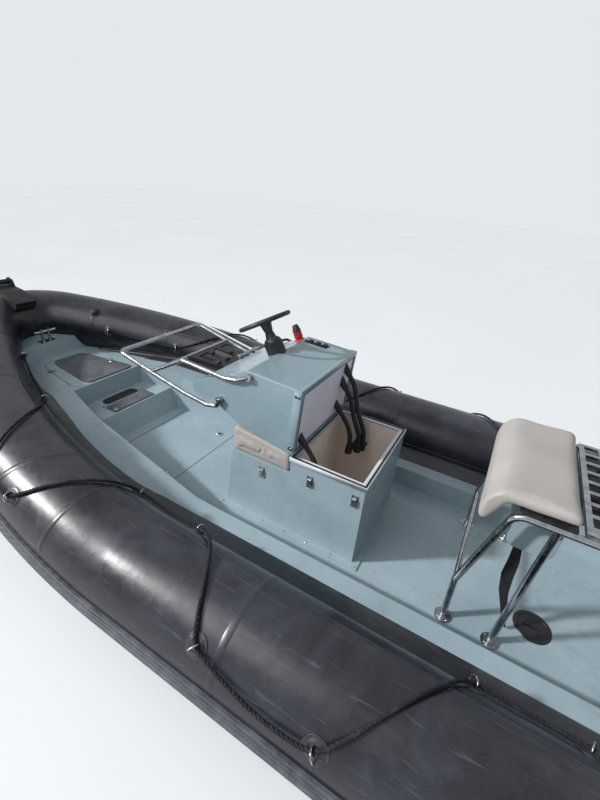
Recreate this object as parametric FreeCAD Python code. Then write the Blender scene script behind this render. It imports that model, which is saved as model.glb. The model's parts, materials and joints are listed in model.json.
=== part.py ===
import FreeCAD, Part
import math
import os
from FreeCAD import Vector

# Rigid inflatable boat, about six metres long, afloat.
# Millimetres. X points to the bow, Y to port, Z up.
# The origin is on the centreline at the waterline, amidships.

# Hull and deck
DECK_HEIGHT = 130.0
LINER_THICKNESS = 30.0
TRANSOM_X = -2500.0
TRANSOM_THICKNESS = 60.0
TRANSOM_NOTCH_HEIGHT = 305.0
TRANSOM_SIDE_HEIGHT = 470.0
TRANSOM_NOTCH_HALF_WIDTH = 330.0
KEEL_DEPTH = 330.0
SKIN_GAP = 0.5

# Buoyancy tube
TUBE_RADIUS = 270.0
TUBE_HALF_SPREAD = 1070.0
TUBE_CENTRE_HEIGHT = 276.0
TUBE_NOSE_X = 3170.0
TUBE_SHEER_ANGLE = 7.5
TUBE_SHEER_RADIUS = 1500.0
TUBE_SHOULDER_ANGLE = 30.0
TUBE_NOSE_RADIUS = 450.0
TUBE_STERN_OVERHANG = 120.0
TUBE_CONE_LENGTH = 250.0
TUBE_CONE_END_RADIUS = 120.0
TUBE_CAP_DEPTH = 60.0

# Collar strip between deck and tube; angles are from outboard, up and over
COLLAR_THICKNESS = 4.0
COLLAR_TOP_ANGLE = 171.0
COLLAR_LOW_ANGLE = 200.0
COLLAR_AFT_INSET = 430.0
COLLAR_MID_INSET = 364.0
COLLAR_BOW_INSET = 274.0

# Rubbing strake
STRAKE_HEIGHT = 100.0
STRAKE_THICKNESS = 16.0
STRAKE_RIB_HEIGHT = 34.0
STRAKE_RIB_DEPTH = 16.0
STRAKE_DROP = 30.0

# Cockpit well
WELL_HALF_WIDTH = 500.0
WELL_NARROW_HALF_WIDTH = 355.0
WELL_TREAD_HALF_WIDTH = 330.0
WELL_STEP_HALF_WIDTH = 225.0
WELL_NARROW_FROM_X = 400.0
WELL_FRONT_X = 1445.0
WELL_WALL_SLOPE = 0.26
FLANGE_BELOW_TUBE_CENTRE = 20.0
STEP_HEIGHT = 165.0
STEP_FRONT_X = 1540.0
STEP_BACK_X = 1838.0
BOW_DECK_HEIGHT = 310.0
BOW_DECK_X = 1872.0
PLATFORM_HEIGHT = 430.0
PLATFORM_X = 2620.0
PLATFORM_RISER_RUN = 40.0
AIR_TOP = 1500.0
LINER_INSET = 200.0
LINER_RISE_X = 1700.0
LINER_BOW_BASE = 470.0

# Lids
LID_THICKNESS = 10.0
LID_GAP = 6.0
LID_LEDGE = 25.0
LID_SEAT_CLEARANCE = 0.3
LID_PIN_RADIUS = 3.5
LID_PIN_SETBACK = 12.0
LID_PIN_REACH = 8.0
LID_PIN_CLEARANCE = 0.05
LID_SWING_RADIUS = 18.5
HATCH_AFT_X = 750.0
HATCH_FRONT_X = 1345.0
HATCH_AFT_HALF_WIDTH = 438.0
HATCH_FRONT_HALF_WIDTH = 354.0
HATCH_WELL_DEPTH = 170.0
ANCHOR_LID_AFT_X = 1890.0
ANCHOR_LID_LENGTH = 610.0
ANCHOR_LID_AFT_HALF_WIDTH = 290.0
ANCHOR_LID_FRONT_HALF_WIDTH = 190.0
ANCHOR_WELL_DEPTH = 220.0
STEP_LID_AFT_X = 1556.0
STEP_LID_LENGTH = 150.0
STEP_LID_HALF_WIDTH = 205.0
STEP_WELL_DEPTH = 80.0

# Anchor lid hinges
LID_HINGE_RADIUS = 4.5
LID_HINGE_PIN_RADIUS = 2.0
LID_HINGE_LENGTH = 40.0
LID_HINGE_LEAF = 30.0
LID_HINGE_OUT = 2.5
LID_HINGE_UP = 4.0
LID_HINGE_PLACES = (130.0, 430.0)

# Locker under the console and the front seat
LOCKER_AFT_X = -600.0
LOCKER_LENGTH = 911.0
LOCKER_HALF_WIDTH = 340.0
LOCKER_RIM_HEIGHT = 555.0
LOCKER_SEAT_HEIGHT = 440.0
LOCKER_OPENING_LENGTH = 450.0
LOCKER_FRONT_RAKE = 52.0
LOCKER_WALL = 14.0
LOCKER_FLANGE = 42.0
LOCKER_FLANGE_THICKNESS = 7.0
RIM_WIDTH = 26.0
RIM_DEPTH = 24.0
GASKET_WIDTH = 8.0
GASKET_HEIGHT = 13.0
GASKET_SUNK = 5.0
LINING_THICKNESS = 4.0

# Front seat cushion
FRONT_CUSHION_AFT_HEIGHT = 132.0
FRONT_CUSHION_FRONT_HEIGHT = 172.0
FRONT_CUSHION_OVERHANG = 8.0

# Console, stated closed: run is aft from the hinge, rise is up from it
CONSOLE_TILT = 86.0
HINGE_AHEAD_OF_OPENING = 5.0
HINGE_ABOVE_RIM = 24.0
HINGE_KNUCKLE_RADIUS = 8.0
HINGE_PIN_RADIUS = 4.0
HINGE_PIN_CLEARANCE = 0.05
HINGE_SHELF_CLEARANCE = 5.0
HINGE_LEAF_THICKNESS = 3.0
HINGE_LEAF_LENGTH = 50.0
HINGE_NOTCH = 6.0
HINGE_PLACES = (-260.0, 260.0)
CONSOLE_HALF_WIDTH = 350.0
CONSOLE_WALL = 6.0
CONSOLE_DEPTH = 406.0
CONSOLE_DASH_RUN = 401.0
CONSOLE_DASH_RISE = 335.0
CONSOLE_TOP_RUN = 200.0
CONSOLE_TOP_RISE = 690.0
CONSOLE_NOSE_RUN = 112.0
CONSOLE_HEIGHT = 715.0
CONSOLE_WAIST_RUN = 104.0
CONSOLE_WAIST_RISE = 500.0
CONSOLE_SHIN_RUN = 52.0
CONSOLE_SHIN_RISE = 385.0
CONSOLE_EDGE_RADIUS = 9.0
CONSOLE_FLANGE = 28.0
BASE_PANEL_THICKNESS = 4.0
CONSOLE_LIP = 10.0

# Steering
WHEEL_RADIUS = 150.0
WHEEL_RIM_RADIUS = 13.0
WHEEL_AXIS_RISE_ANGLE = 33.0
WHEEL_OFFSET = 200.0
HELM_RISE = 368.0
HELM_RADIUS = 57.0
HELM_NECK_RADIUS = 26.0
HELM_LENGTH = 128.0
SPOKE_COUNT = 3
SWITCH_COUNT = 3
SWITCH_PLATE_LENGTH = 160.0
KILL_SWITCH_Y = -310.0
KILL_SWITCH_RISE = 388.0
CONTROL_RUN = 270.0
CONTROL_RISE = 390.0

# Handrail
RAIL_RADIUS = 14.0
RAIL_HALF_SPREAD = 367.0
RAIL_BEND = 40.0

# Helm seat
SEAT_TUBE_RADIUS = 16.0
SEAT_HALF_SPREAD = 378.0
SEAT_RAIL_HEIGHT = 772.0
SEAT_FRONT_X = -1126.0
SEAT_REAR_FOOT_X = -1355.0
SEAT_KNEE_HEIGHT = 284.0
SEAT_TOP_BEND_X = -1236.0
SEAT_RACK_LENGTH = 400.0
SEAT_FOOT_RADIUS = 42.0
SEAT_FOOT_THICKNESS = 7.0
SEAT_CUSHION_FRONT_X = -1098.0
SEAT_CUSHION_AFT_X = -1470.0
SEAT_CUSHION_HALF_WIDTH = 385.0
SEAT_CUSHION_THICKNESS = 62.0
SEAT_CUSHION_ROLL = 205.0
SEAT_BASE_THICKNESS = 12.0
SEAT_BAR_SETBACK = 60.0
SEAT_BOX_FRONT_X = -1254.0
SEAT_BOX_AFT_X = -1442.0
SEAT_BOX_HALF_WIDTH = 300.0
SEAT_BOX_LOW_Z = 672.0
SEAT_BOX_CORNER = 38.0
SEAT_BOX_WALL = 5.0
SEAT_STRAP_Y = 280.0
SEAT_STRAP_THICKNESS = 5.0

# Deck fittings
DECK_PLATE_X = -1539.0
DECK_PLATE_Y = 186.0
DECK_PLATE_RADIUS = 92.0
CLEAT_X = 2700.0
CLEAT_HEIGHT = 120.0

# Lifeline
ROPE_RADIUS = 9.0
ROPE_LIFT = 22.0
RING_LIFT = 18.0
RING_RADIUS = 16.0
RING_CLEARANCE = 0.4
RING_THICKNESS = 6.0
PATCH_RADIUS = 46.0
PATCH_THICKNESS = 3.0

# Outboard motor
MOTOR_TILT_X = -2640.0
MOTOR_TILT_HEIGHT = 345.0
MOTOR_STEER_X = -2735.0
MOTOR_CAVITATION_DEPTH = 345.0
PROP_DEPTH = 540.0
PROP_RADIUS = 175.0
PROP_HUB_RADIUS = 52.0
PROP_HUB_LENGTH = 130.0
PROP_SHAFT_RADIUS = 12.0
BLADE_COUNT = 3

# Derived heights and places
SOLE = DECK_HEIGHT
FLANGE_TOP = TUBE_CENTRE_HEIGHT - FLANGE_BELOW_TUBE_CENTRE
STEP_TOP = SOLE + STEP_HEIGHT
BOW_DECK_TOP = SOLE + BOW_DECK_HEIGHT
PLATFORM_TOP = SOLE + PLATFORM_HEIGHT
LINER_BASE = SOLE - LINER_THICKNESS
WELL_AFT_X = TRANSOM_X + TRANSOM_THICKNESS
LOCKER_OPENING_FRONT_X = LOCKER_AFT_X + LOCKER_OPENING_LENGTH
RIM_TOP = SOLE + LOCKER_RIM_HEIGHT
SEAT_LEDGE_TOP = SOLE + LOCKER_SEAT_HEIGHT
HINGE_X = LOCKER_OPENING_FRONT_X - HINGE_AHEAD_OF_OPENING
HINGE_Z = RIM_TOP + HINGE_ABOVE_RIM
SEAT_RAIL_Z = SOLE + SEAT_RAIL_HEIGHT
SEAT_TOP_Z = SEAT_RAIL_Z + SEAT_TUBE_RADIUS + SEAT_BASE_THICKNESS

X_AXIS = Vector(1, 0, 0)
Y_AXIS = Vector(0, 1, 0)
Z_AXIS = Vector(0, 0, 1)


def box(x0, x1, y0, y1, z0, z1):
    return Part.makeBox(x1 - x0, y1 - y0, z1 - z0, Vector(x0, y0, z0))


def rod(start, end, radius):
    way = end - start
    return Part.makeCylinder(radius, way.Length, start, way)


def polygon(points):
    return Part.Face(Part.makePolygon(points + [points[0]]))


def side_prism(outline, half_width):
    """A prism across the boat from an outline of (x, z) points."""
    face = polygon([Vector(x, -half_width, z) for x, z in outline])
    return face.extrude(Vector(0, 2 * half_width, 0))


def plan_prism(outline, low, high):
    """An upright prism from an outline of (x, y) points."""
    face = polygon([Vector(x, y, low) for x, y in outline])
    return face.extrude(Vector(0, 0, high - low))


def both_sides(points):
    """A closed plan outline from the port half, given from aft to forward."""
    return points + [(x, -y) for x, y in reversed(points)]


def mirrored(shape):
    return shape.mirror(Vector(0, 0, 0), Y_AXIS)


def fused(shapes):
    whole = shapes[0]
    if len(shapes) > 1:
        whole = whole.multiFuse(shapes[1:])
    return whole.removeSplitter()


def largest(shape):
    """The main solid of a cut that leaves slivers beside it."""
    return max(shape.Solids, key=lambda solid: solid.Volume)


def corner_arc(before, corner, after, radius_at):
    """The tangent arc that rounds a corner, as its first, middle and last points."""
    back = (before - corner).normalize()
    on = (after - corner).normalize()
    half_turn = (math.pi - back.getAngle(on)) / 2
    radius = radius_at(min((corner - before).Length, (after - corner).Length), half_turn)
    trim = radius * math.tan(half_turn)
    middle = corner + (back + on).normalize() * (radius / math.cos(half_turn) - radius)
    return corner + back * trim, middle, corner + on * trim


def route_wire(points, radius_at):
    """Straight runs joined by tangent arcs; radius_at gives each corner's radius."""
    edges = []
    start = points[0]
    for before, corner, after in zip(points, points[1:], points[2:]):
        first, middle, last = corner_arc(before, corner, after, radius_at)
        edges.append(Part.LineSegment(start, first).toShape())
        edges.append(Part.Arc(first, middle, last).toShape())
        start = last
    edges.append(Part.LineSegment(start, points[-1]).toShape())
    return Part.Wire(edges)


def swept_tube(wire, points, radius):
    ring = Part.Wire(Part.makeCircle(radius, points[0], points[1] - points[0]))
    return wire.makePipeShell([ring], True, False)


def bent_tube(points, radius, bend):
    """A pipe of straight runs with one bend radius."""
    return swept_tube(route_wire(points, lambda shorter, half_turn: bend), points, radius)


def cord_bend(shorter, half_turn):
    """The largest bend that the two runs beside a cord's corner allow."""
    return 0.45 * shorter / math.tan(half_turn)


def cord_tube(points, radius):
    return swept_tube(route_wire(points, cord_bend), points, radius)


# The tube's centreline on the port side: straight from the transom, an arc that
# lifts it into the sheer plane, then a shoulder arc and a nose arc in that plane.

SHEER = math.radians(TUBE_SHEER_ANGLE)
SHOULDER = math.radians(TUBE_SHOULDER_ANGLE)
SHOULDER_RADIUS = ((TUBE_HALF_SPREAD - TUBE_NOSE_RADIUS * math.cos(SHOULDER))
                   / (1 - math.cos(SHOULDER)))
BOW_REACH = SHOULDER_RADIUS * math.sin(SHOULDER) + TUBE_NOSE_RADIUS * (1 - math.sin(SHOULDER))
STRAIGHT_END_X = (TUBE_NOSE_X - TUBE_SHEER_RADIUS * math.sin(SHEER)
                  - BOW_REACH * math.cos(SHEER))
SHEER_FORWARD = Vector(math.cos(SHEER), 0, math.sin(SHEER))
SHEER_NORMAL = Vector(-math.sin(SHEER), 0, math.cos(SHEER))
SHEER_START = Vector(STRAIGHT_END_X, TUBE_HALF_SPREAD, TUBE_CENTRE_HEIGHT)
SHOULDER_START = SHEER_START + Vector(TUBE_SHEER_RADIUS * math.sin(SHEER), 0,
                                      TUBE_SHEER_RADIUS * (1 - math.cos(SHEER)))
SHOULDER_CENTRE = SHOULDER_START - Y_AXIS * SHOULDER_RADIUS
NOSE_CENTRE = (SHOULDER_CENTRE
               + (SHEER_FORWARD * math.sin(SHOULDER) + Y_AXIS * math.cos(SHOULDER))
               * (SHOULDER_RADIUS - TUBE_NOSE_RADIUS))


def tube_frame(distance):
    """Centre, outward and upward directions at a distance forward of the transom."""
    straight = STRAIGHT_END_X - TRANSOM_X
    if distance <= straight:
        return Vector(TRANSOM_X + distance, TUBE_HALF_SPREAD, TUBE_CENTRE_HEIGHT), Y_AXIS, Z_AXIS
    distance -= straight
    if distance <= TUBE_SHEER_RADIUS * SHEER:
        turn = distance / TUBE_SHEER_RADIUS
        centre = SHEER_START + Vector(TUBE_SHEER_RADIUS * math.sin(turn), 0,
                                      TUBE_SHEER_RADIUS * (1 - math.cos(turn)))
        return centre, Y_AXIS, Vector(-math.sin(turn), 0, math.cos(turn))
    distance -= TUBE_SHEER_RADIUS * SHEER
    if distance <= SHOULDER_RADIUS * SHOULDER:
        turn = distance / SHOULDER_RADIUS
        outward = SHEER_FORWARD * math.sin(turn) + Y_AXIS * math.cos(turn)
        return SHOULDER_CENTRE + outward * SHOULDER_RADIUS, outward, SHEER_NORMAL
    turn = SHOULDER + (distance - SHOULDER_RADIUS * SHOULDER) / TUBE_NOSE_RADIUS
    outward = SHEER_FORWARD * math.sin(turn) + Y_AXIS * math.cos(turn)
    return NOSE_CENTRE + outward * TUBE_NOSE_RADIUS, outward, SHEER_NORMAL


def on_tube(distance, angle, lift):
    """A point above the tube's skin; angle is from outboard, up and over."""
    centre, outward, upward = tube_frame(distance)
    turn = math.radians(angle)
    normal = outward * math.cos(turn) + upward * math.sin(turn)
    return centre + normal * (TUBE_RADIUS + lift), normal


def along_tube(section, start_x):
    """Sweeps a section, drawn at start_x across the port tube, to the nose."""
    pieces = [section.extrude(Vector(STRAIGHT_END_X - start_x, 0, 0))]
    section = section.translated(Vector(STRAIGHT_END_X - start_x, 0, 0))
    lift_centre = SHEER_START + Z_AXIS * TUBE_SHEER_RADIUS
    turns = [
        (lift_centre, -Y_AXIS, TUBE_SHEER_ANGLE),
        (SHOULDER_CENTRE, -SHEER_NORMAL, TUBE_SHOULDER_ANGLE),
        (NOSE_CENTRE, -SHEER_NORMAL, 90.0 - TUBE_SHOULDER_ANGLE),
    ]
    for centre, axis, degrees in turns:
        pieces.append(section.revolve(centre, axis, degrees))
        section = section.rotated(centre, axis, degrees)
    return pieces


def tube_disc(x, radius):
    centre = Vector(x, TUBE_HALF_SPREAD, TUBE_CENTRE_HEIGHT)
    return Part.Face(Part.Wire(Part.makeCircle(radius, centre, X_AXIS)))


def stern_cone(radius):
    """The cone and ball-shaped cap that close the tube behind the transom."""
    start = TRANSOM_X - TUBE_STERN_OVERHANG
    end = start - TUBE_CONE_LENGTH
    ball = (TUBE_CONE_END_RADIUS ** 2 + TUBE_CAP_DEPTH ** 2) / (2 * TUBE_CAP_DEPTH)
    half_turn = math.asin(TUBE_CONE_END_RADIUS / ball) / 2

    def at(x, height):
        return Vector(x, TUBE_HALF_SPREAD, TUBE_CENTRE_HEIGHT + height)
    tip_x = end - TUBE_CAP_DEPTH
    middle = at(tip_x + ball * (1 - math.cos(half_turn)), ball * math.sin(half_turn))
    edges = [
        Part.makeLine(at(start, 0), at(start, radius)),
        Part.makeLine(at(start, radius), at(end, TUBE_CONE_END_RADIUS)),
        Part.Arc(at(end, TUBE_CONE_END_RADIUS), middle, at(tip_x, 0)).toShape(),
        Part.makeLine(at(tip_x, 0), at(start, 0)),
    ]
    return Part.Face(Part.Wire(edges)).revolve(at(start, 0), X_AXIS, 360)


def port_tube(radius=TUBE_RADIUS):
    start = TRANSOM_X - TUBE_STERN_OVERHANG
    return fused(along_tube(tube_disc(start, radius), start) + [stern_cone(radius)])


def port_strake():
    """A flat band with a raised rib, on the outer side a little below mid-height."""
    start = TRANSOM_X - TUBE_STERN_OVERHANG
    skin = TUBE_HALF_SPREAD + TUBE_RADIUS
    middle = TUBE_CENTRE_HEIGHT - STRAKE_DROP
    half = STRAKE_HEIGHT / 2
    half_rib = STRAKE_RIB_HEIGHT / 2
    root = skin - 14
    face = skin + STRAKE_THICKNESS
    crown = face + STRAKE_RIB_DEPTH
    outline = [
        (root, -half), (face - 4, -half), (face, -half + 10), (face, -half_rib),
        (crown, -half_rib + 8), (crown, half_rib - 8), (face, half_rib),
        (face, half - 10), (face - 4, half), (root, half),
    ]
    section = polygon([Vector(start, y, middle + z) for y, z in outline])
    return fused(along_tube(section, start)).cut(port_tube(TUBE_RADIUS + SKIN_GAP))


def plan_half_breadth(x, inset):
    """Half breadth in plan of the tube's centreline, moved inboard by inset."""
    if x <= SHOULDER_START.x:
        return TUBE_HALF_SPREAD - inset
    reach = (x - SHOULDER_START.x) / math.cos(SHEER)
    radius = SHOULDER_RADIUS - inset
    if reach <= radius * math.sin(SHOULDER):
        return math.sqrt(radius ** 2 - reach ** 2) - (SHOULDER_RADIUS - TUBE_HALF_SPREAD)
    nose_radius = TUBE_NOSE_RADIUS - inset
    run = reach - (SHOULDER_RADIUS - TUBE_NOSE_RADIUS) * math.sin(SHOULDER)
    return math.sqrt(max(nose_radius ** 2 - run ** 2, 1.0))


def tube_height(x):
    """Height of the tube's centre at a station."""
    if x <= STRAIGHT_END_X:
        return TUBE_CENTRE_HEIGHT
    if x <= SHOULDER_START.x:
        return (TUBE_CENTRE_HEIGHT + TUBE_SHEER_RADIUS
                - math.sqrt(TUBE_SHEER_RADIUS ** 2 - (x - STRAIGHT_END_X) ** 2))
    return SHOULDER_START.z + (x - SHOULDER_START.x) * math.tan(SHEER)


def sheer_edges(lift, front_x):
    """The flange's side line, raised by lift, from the transom to front_x."""
    drop = lift - FLANGE_BELOW_TUBE_CENTRE
    arc_centre = SHEER_START + Z_AXIS * TUBE_SHEER_RADIUS
    radius = TUBE_SHEER_RADIUS - drop
    points = []
    for share in (0, 0.5, 1):
        turn = SHEER * share
        points.append(Vector(arc_centre.x + radius * math.sin(turn), 0,
                             arc_centre.z - radius * math.cos(turn)))
    first = Vector(WELL_AFT_X, 0, FLANGE_TOP + lift)
    last = points[2] + SHEER_FORWARD * ((front_x - points[2].x) / math.cos(SHEER))
    edges = [Part.makeLine(first, points[0]), Part.Arc(*points).toShape(),
             Part.makeLine(points[2], last)]
    return edges, first, last


def deck_top_edges(lift, end_x):
    """The deck edge's whole side line: sheer, level bow deck, riser and platform."""
    arc_end_z = SHOULDER_START.z - FLANGE_BELOW_TUBE_CENTRE * math.cos(SHEER)
    level_x = SHOULDER_START.x + (BOW_DECK_TOP - arc_end_z) / math.tan(SHEER)
    edges, first, last = sheer_edges(lift, level_x)
    corners = [last, Vector(PLATFORM_X, 0, last.z),
               Vector(PLATFORM_X + PLATFORM_RISER_RUN, 0, PLATFORM_TOP + lift),
               Vector(end_x, 0, PLATFORM_TOP + lift)]
    for start, end in zip(corners, corners[1:]):
        edges.append(Part.makeLine(start, end))
    return edges, first, corners[-1]


def below_deck_edge(lift, floor):
    """Everything under the deck edge's side line, down to a floor of (x, z) points."""
    edges, first, last = deck_top_edges(lift, floor[-1][0])
    base = [first] + [Vector(x, 0, z) for x, z in floor] + [last]
    for start, end in zip(base, base[1:]):
        if (end - start).Length > 0.01:
            edges.append(Part.makeLine(start, end))
    wire = Part.Wire(Part.sortEdges(edges)[0])
    face = Part.Face(wire).translated(Vector(0, -TUBE_HALF_SPREAD, 0))
    return face.extrude(Vector(0, 2 * TUBE_HALF_SPREAD, 0))


def liner_block():
    """The moulded deck's outer block, inside the tubes."""
    stations = [WELL_AFT_X, SHOULDER_START.x]
    bow_end = TUBE_NOSE_X - LINER_INSET - 1
    steps = 9
    for number in range(1, steps + 1):
        stations.append(SHOULDER_START.x + (bow_end - SHOULDER_START.x) * number / steps)
    plan = [(x, plan_half_breadth(x, LINER_INSET)) for x in stations]
    floor = [(WELL_AFT_X, LINER_BASE), (LINER_RISE_X, LINER_BASE), (bow_end, LINER_BOW_BASE)]
    block = below_deck_edge(0, floor)
    return block.common(plan_prism(both_sides(plan), LINER_BASE - 1, PLATFORM_TOP + 1))


def well():
    """The cockpit well with its bow steps and sloping sides."""
    profile = [
        (WELL_AFT_X - 1, SOLE), (WELL_FRONT_X, SOLE), (STEP_FRONT_X, STEP_TOP),
        (STEP_BACK_X, STEP_TOP), (BOW_DECK_X, BOW_DECK_TOP),
        (BOW_DECK_X + 20, PLATFORM_TOP + 60), (WELL_AFT_X - 1, PLATFORM_TOP + 60),
    ]
    rise = PLATFORM_TOP + 100 - SOLE
    spread = WELL_WALL_SLOPE * rise
    plan = [
        (WELL_AFT_X - 2, WELL_HALF_WIDTH), (WELL_NARROW_FROM_X, WELL_HALF_WIDTH),
        (WELL_FRONT_X, WELL_NARROW_HALF_WIDTH), (STEP_FRONT_X, WELL_TREAD_HALF_WIDTH),
        (BOW_DECK_X + 60, WELL_STEP_HALF_WIDTH),
    ]
    low = [Vector(x, y, SOLE) for x, y in both_sides(plan)]
    high = [Vector(x, y, SOLE + rise)
            for x, y in both_sides([(x, y + spread) for x, y in plan])]
    sides = Part.makeLoft([Part.makePolygon(low + [low[0]]),
                           Part.makePolygon(high + [high[0]])], True, True)
    return side_prism(profile, TUBE_HALF_SPREAD).common(sides)


def rounded_plan(outline, radius, low, high):
    """An upright prism with its vertical edges rounded."""
    prism = plan_prism(outline, low, high)
    upright = [edge for edge in prism.Edges
               if abs(edge.tangentAt(edge.FirstParameter).z) > 0.99]
    return prism.makeFillet(radius, upright)


def lid_outline(name, side, aft, front):
    """Plan outline of a lid, grown by its side, aft and front margins."""
    if name == "hatch":
        return both_sides([(HATCH_AFT_X - aft, HATCH_AFT_HALF_WIDTH + side),
                           (HATCH_FRONT_X + front, HATCH_FRONT_HALF_WIDTH + side)])
    if name == "anchor":
        return both_sides([
            (ANCHOR_LID_AFT_X - aft, ANCHOR_LID_AFT_HALF_WIDTH + side),
            (ANCHOR_LID_AFT_X + ANCHOR_LID_LENGTH + front, ANCHOR_LID_FRONT_HALF_WIDTH + side),
        ])
    half = STEP_LID_HALF_WIDTH + side
    return both_sides([(STEP_LID_AFT_X - aft, half),
                       (STEP_LID_AFT_X + STEP_LID_LENGTH + front, half)])


LIDS = {
    # name: top height, depth of the space below, corner radius
    "hatch": (SOLE, HATCH_WELL_DEPTH, 12.0),
    "anchor": (BOW_DECK_TOP, ANCHOR_WELL_DEPTH, 80.0),
    "step": (STEP_TOP, STEP_WELL_DEPTH, 20.0),
}

PINNED_LIDS = {
    # name: x of the pivot pins, half breadth of the lid
    "hatch": (HATCH_FRONT_X - LID_PIN_SETBACK, HATCH_FRONT_HALF_WIDTH),
    "step": (STEP_LID_AFT_X + STEP_LID_LENGTH - LID_PIN_SETBACK, STEP_LID_HALF_WIDTH),
}


def lid_pins(name, clearance):
    """The two pivot pins in a lid's side edges, or with a clearance, their bores."""
    x, half = PINNED_LIDS[name]
    z = LIDS[name][0] - LID_THICKNESS / 2
    pins = []
    for side in (1, -1):
        inner = Vector(x, side * (half - 5), z)
        outer = Vector(x, side * (half + LID_GAP + LID_PIN_REACH + clearance), z)
        pins.append(rod(inner, outer, LID_PIN_RADIUS + clearance))
    return pins


def lid_swing(name):
    """The round channel in which a pinned lid's tail turns down as it opens."""
    x, half = PINNED_LIDS[name]
    z = LIDS[name][0] - LID_THICKNESS / 2
    reach = half + LID_GAP
    return rod(Vector(x, -reach, z), Vector(x, reach, z), LID_SWING_RADIUS)


def lid(name):
    top, depth, corner = LIDS[name]
    plate = rounded_plan(lid_outline(name, 0, 0, 0), corner, top - LID_THICKNESS, top)
    if name in PINNED_LIDS:
        plate = fused([plate] + lid_pins(name, 0))
    return plate


def lid_room(name):
    """What a lid needs cut away: its seat, the space below and its pins' bores."""
    top, depth, corner = LIDS[name]
    seat = rounded_plan(lid_outline(name, LID_GAP, LID_GAP, LID_GAP), corner + LID_GAP,
                        top - LID_THICKNESS - LID_SEAT_CLEARANCE, top + 1)
    front = LID_GAP if name in PINNED_LIDS else -LID_LEDGE
    space = rounded_plan(lid_outline(name, -LID_LEDGE, -LID_LEDGE, front), corner,
                         top - depth, top)
    room = [seat, space]
    if name in PINNED_LIDS:
        room += lid_pins(name, LID_PIN_CLEARANCE) + [lid_swing(name)]
    return room


def deck_liner():
    tube = port_tube(TUBE_RADIUS + SKIN_GAP)
    liner = liner_block().cut([tube, mirrored(tube), well()])
    for name in LIDS:
        liner = liner.cut(lid_room(name))
    return liner


HULL_STATIONS = [
    # x, keel height, chine half breadth, chine height
    (TRANSOM_X, -KEEL_DEPTH, 800.0, -60.0),
    (300.0, -KEEL_DEPTH, 780.0, -45.0),
    (1300.0, -310.0, 660.0, 10.0),
    (2000.0, -210.0, 450.0, 100.0),
    (2550.0, 20.0, 235.0, 235.0),
    (2930.0, 300.0, 30.0, 345.0),
]
CHINE_FLAT = 45.0
HULL_SIDE_INSET = 135.0
HULL_SIDE_DROP = 225.0


def hull_section(x, keel, chine, chine_height):
    side = max(plan_half_breadth(x, HULL_SIDE_INSET), chine + CHINE_FLAT + 10)
    side_height = tube_height(x) - HULL_SIDE_DROP
    half = [(0, keel), (chine, chine_height), (chine + CHINE_FLAT, chine_height),
            (side, side_height), (side - 60, side_height + 120)]
    points = [Vector(x, y, z) for y, z in half]
    points += [Vector(x, -y, z) for y, z in reversed(half[1:])]
    return Part.makePolygon(points + [points[0]])


def lifting_strake(side, share):
    """A spray rail along the bottom, at a share of the way out to the chine."""
    points = []
    for x, keel, chine, chine_height in HULL_STATIONS[:4]:
        points.append(Vector(x, side * chine * share, keel + (chine_height - keel) * share))
    sections = []
    for point in points:
        sections.append(Part.makePolygon([
            point + Vector(0, -side * 34, -2), point + Vector(0, side * 26, -18),
            point + Vector(0, side * 26, 20), point + Vector(0, -side * 34, -2),
        ]))
    return Part.makeLoft(sections, True, True)


def open_air():
    """The space over the deck and its bow platform."""
    floor = [(WELL_AFT_X, LINER_BASE), (TUBE_NOSE_X, LINER_BASE)]
    space = box(WELL_AFT_X, TUBE_NOSE_X, -TUBE_HALF_SPREAD, TUBE_HALF_SPREAD, LINER_BASE, AIR_TOP)
    return space.cut(below_deck_edge(0, floor))


def hull():
    shell = Part.makeLoft([hull_section(*row) for row in HULL_STATIONS], True, True)
    rails = [lifting_strake(side, share) for side in (1, -1) for share in (0.38, 0.7)]
    tube = port_tube(TUBE_RADIUS + SKIN_GAP)
    solid = fused([shell] + rails)
    solid = solid.cut([tube, mirrored(tube), liner_block()])
    above = box(TRANSOM_X - 1, 3200, -1300, 1300, LINER_BASE, 1500)
    aft_top = box(TRANSOM_X - 1, WELL_AFT_X, -1300, 1300, LINER_BASE, 1500)
    solid = solid.cut([aft_top, above.common(side_prism([
        (TRANSOM_X - 1, LINER_BASE), (300, LINER_BASE), (300, 1500), (TRANSOM_X - 1, 1500),
    ], 1300))])
    strip = collar_strip()
    solid = solid.cut([strip, mirrored(strip), open_air()])
    return largest(solid.cut([lid_room(name)[1] for name in LIDS]))


def transom():
    """The transom board between the tubes, notched for the motor."""
    notch = TRANSOM_NOTCH_HALF_WIDTH
    wide = TUBE_HALF_SPREAD
    outline = [
        (-wide, LINER_BASE), (wide, LINER_BASE), (wide, TRANSOM_SIDE_HEIGHT),
        (notch + 90, TRANSOM_SIDE_HEIGHT), (notch, TRANSOM_NOTCH_HEIGHT),
        (-notch, TRANSOM_NOTCH_HEIGHT), (-notch - 90, TRANSOM_SIDE_HEIGHT),
        (-wide, TRANSOM_SIDE_HEIGHT),
    ]
    face = polygon([Vector(TRANSOM_X, y, z) for y, z in outline])
    board = face.extrude(Vector(TRANSOM_THICKNESS, 0, 0))
    tube = port_tube(TUBE_RADIUS + SKIN_GAP)
    middle = box(TRANSOM_X - 1, WELL_AFT_X + 1, -TUBE_HALF_SPREAD + 60, TUBE_HALF_SPREAD - 60,
                 0, 800)
    board = board.cut([tube, mirrored(tube)]).common(middle)
    return largest(board)


COLLAR_EDGE = [
    # x, how far inboard of the tube's centreline the light deck ends and the strip begins
    (WELL_AFT_X, COLLAR_AFT_INSET), (400.0, COLLAR_AFT_INSET),
    (1850.0, COLLAR_MID_INSET), (2600.0, COLLAR_BOW_INSET),
]


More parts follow.
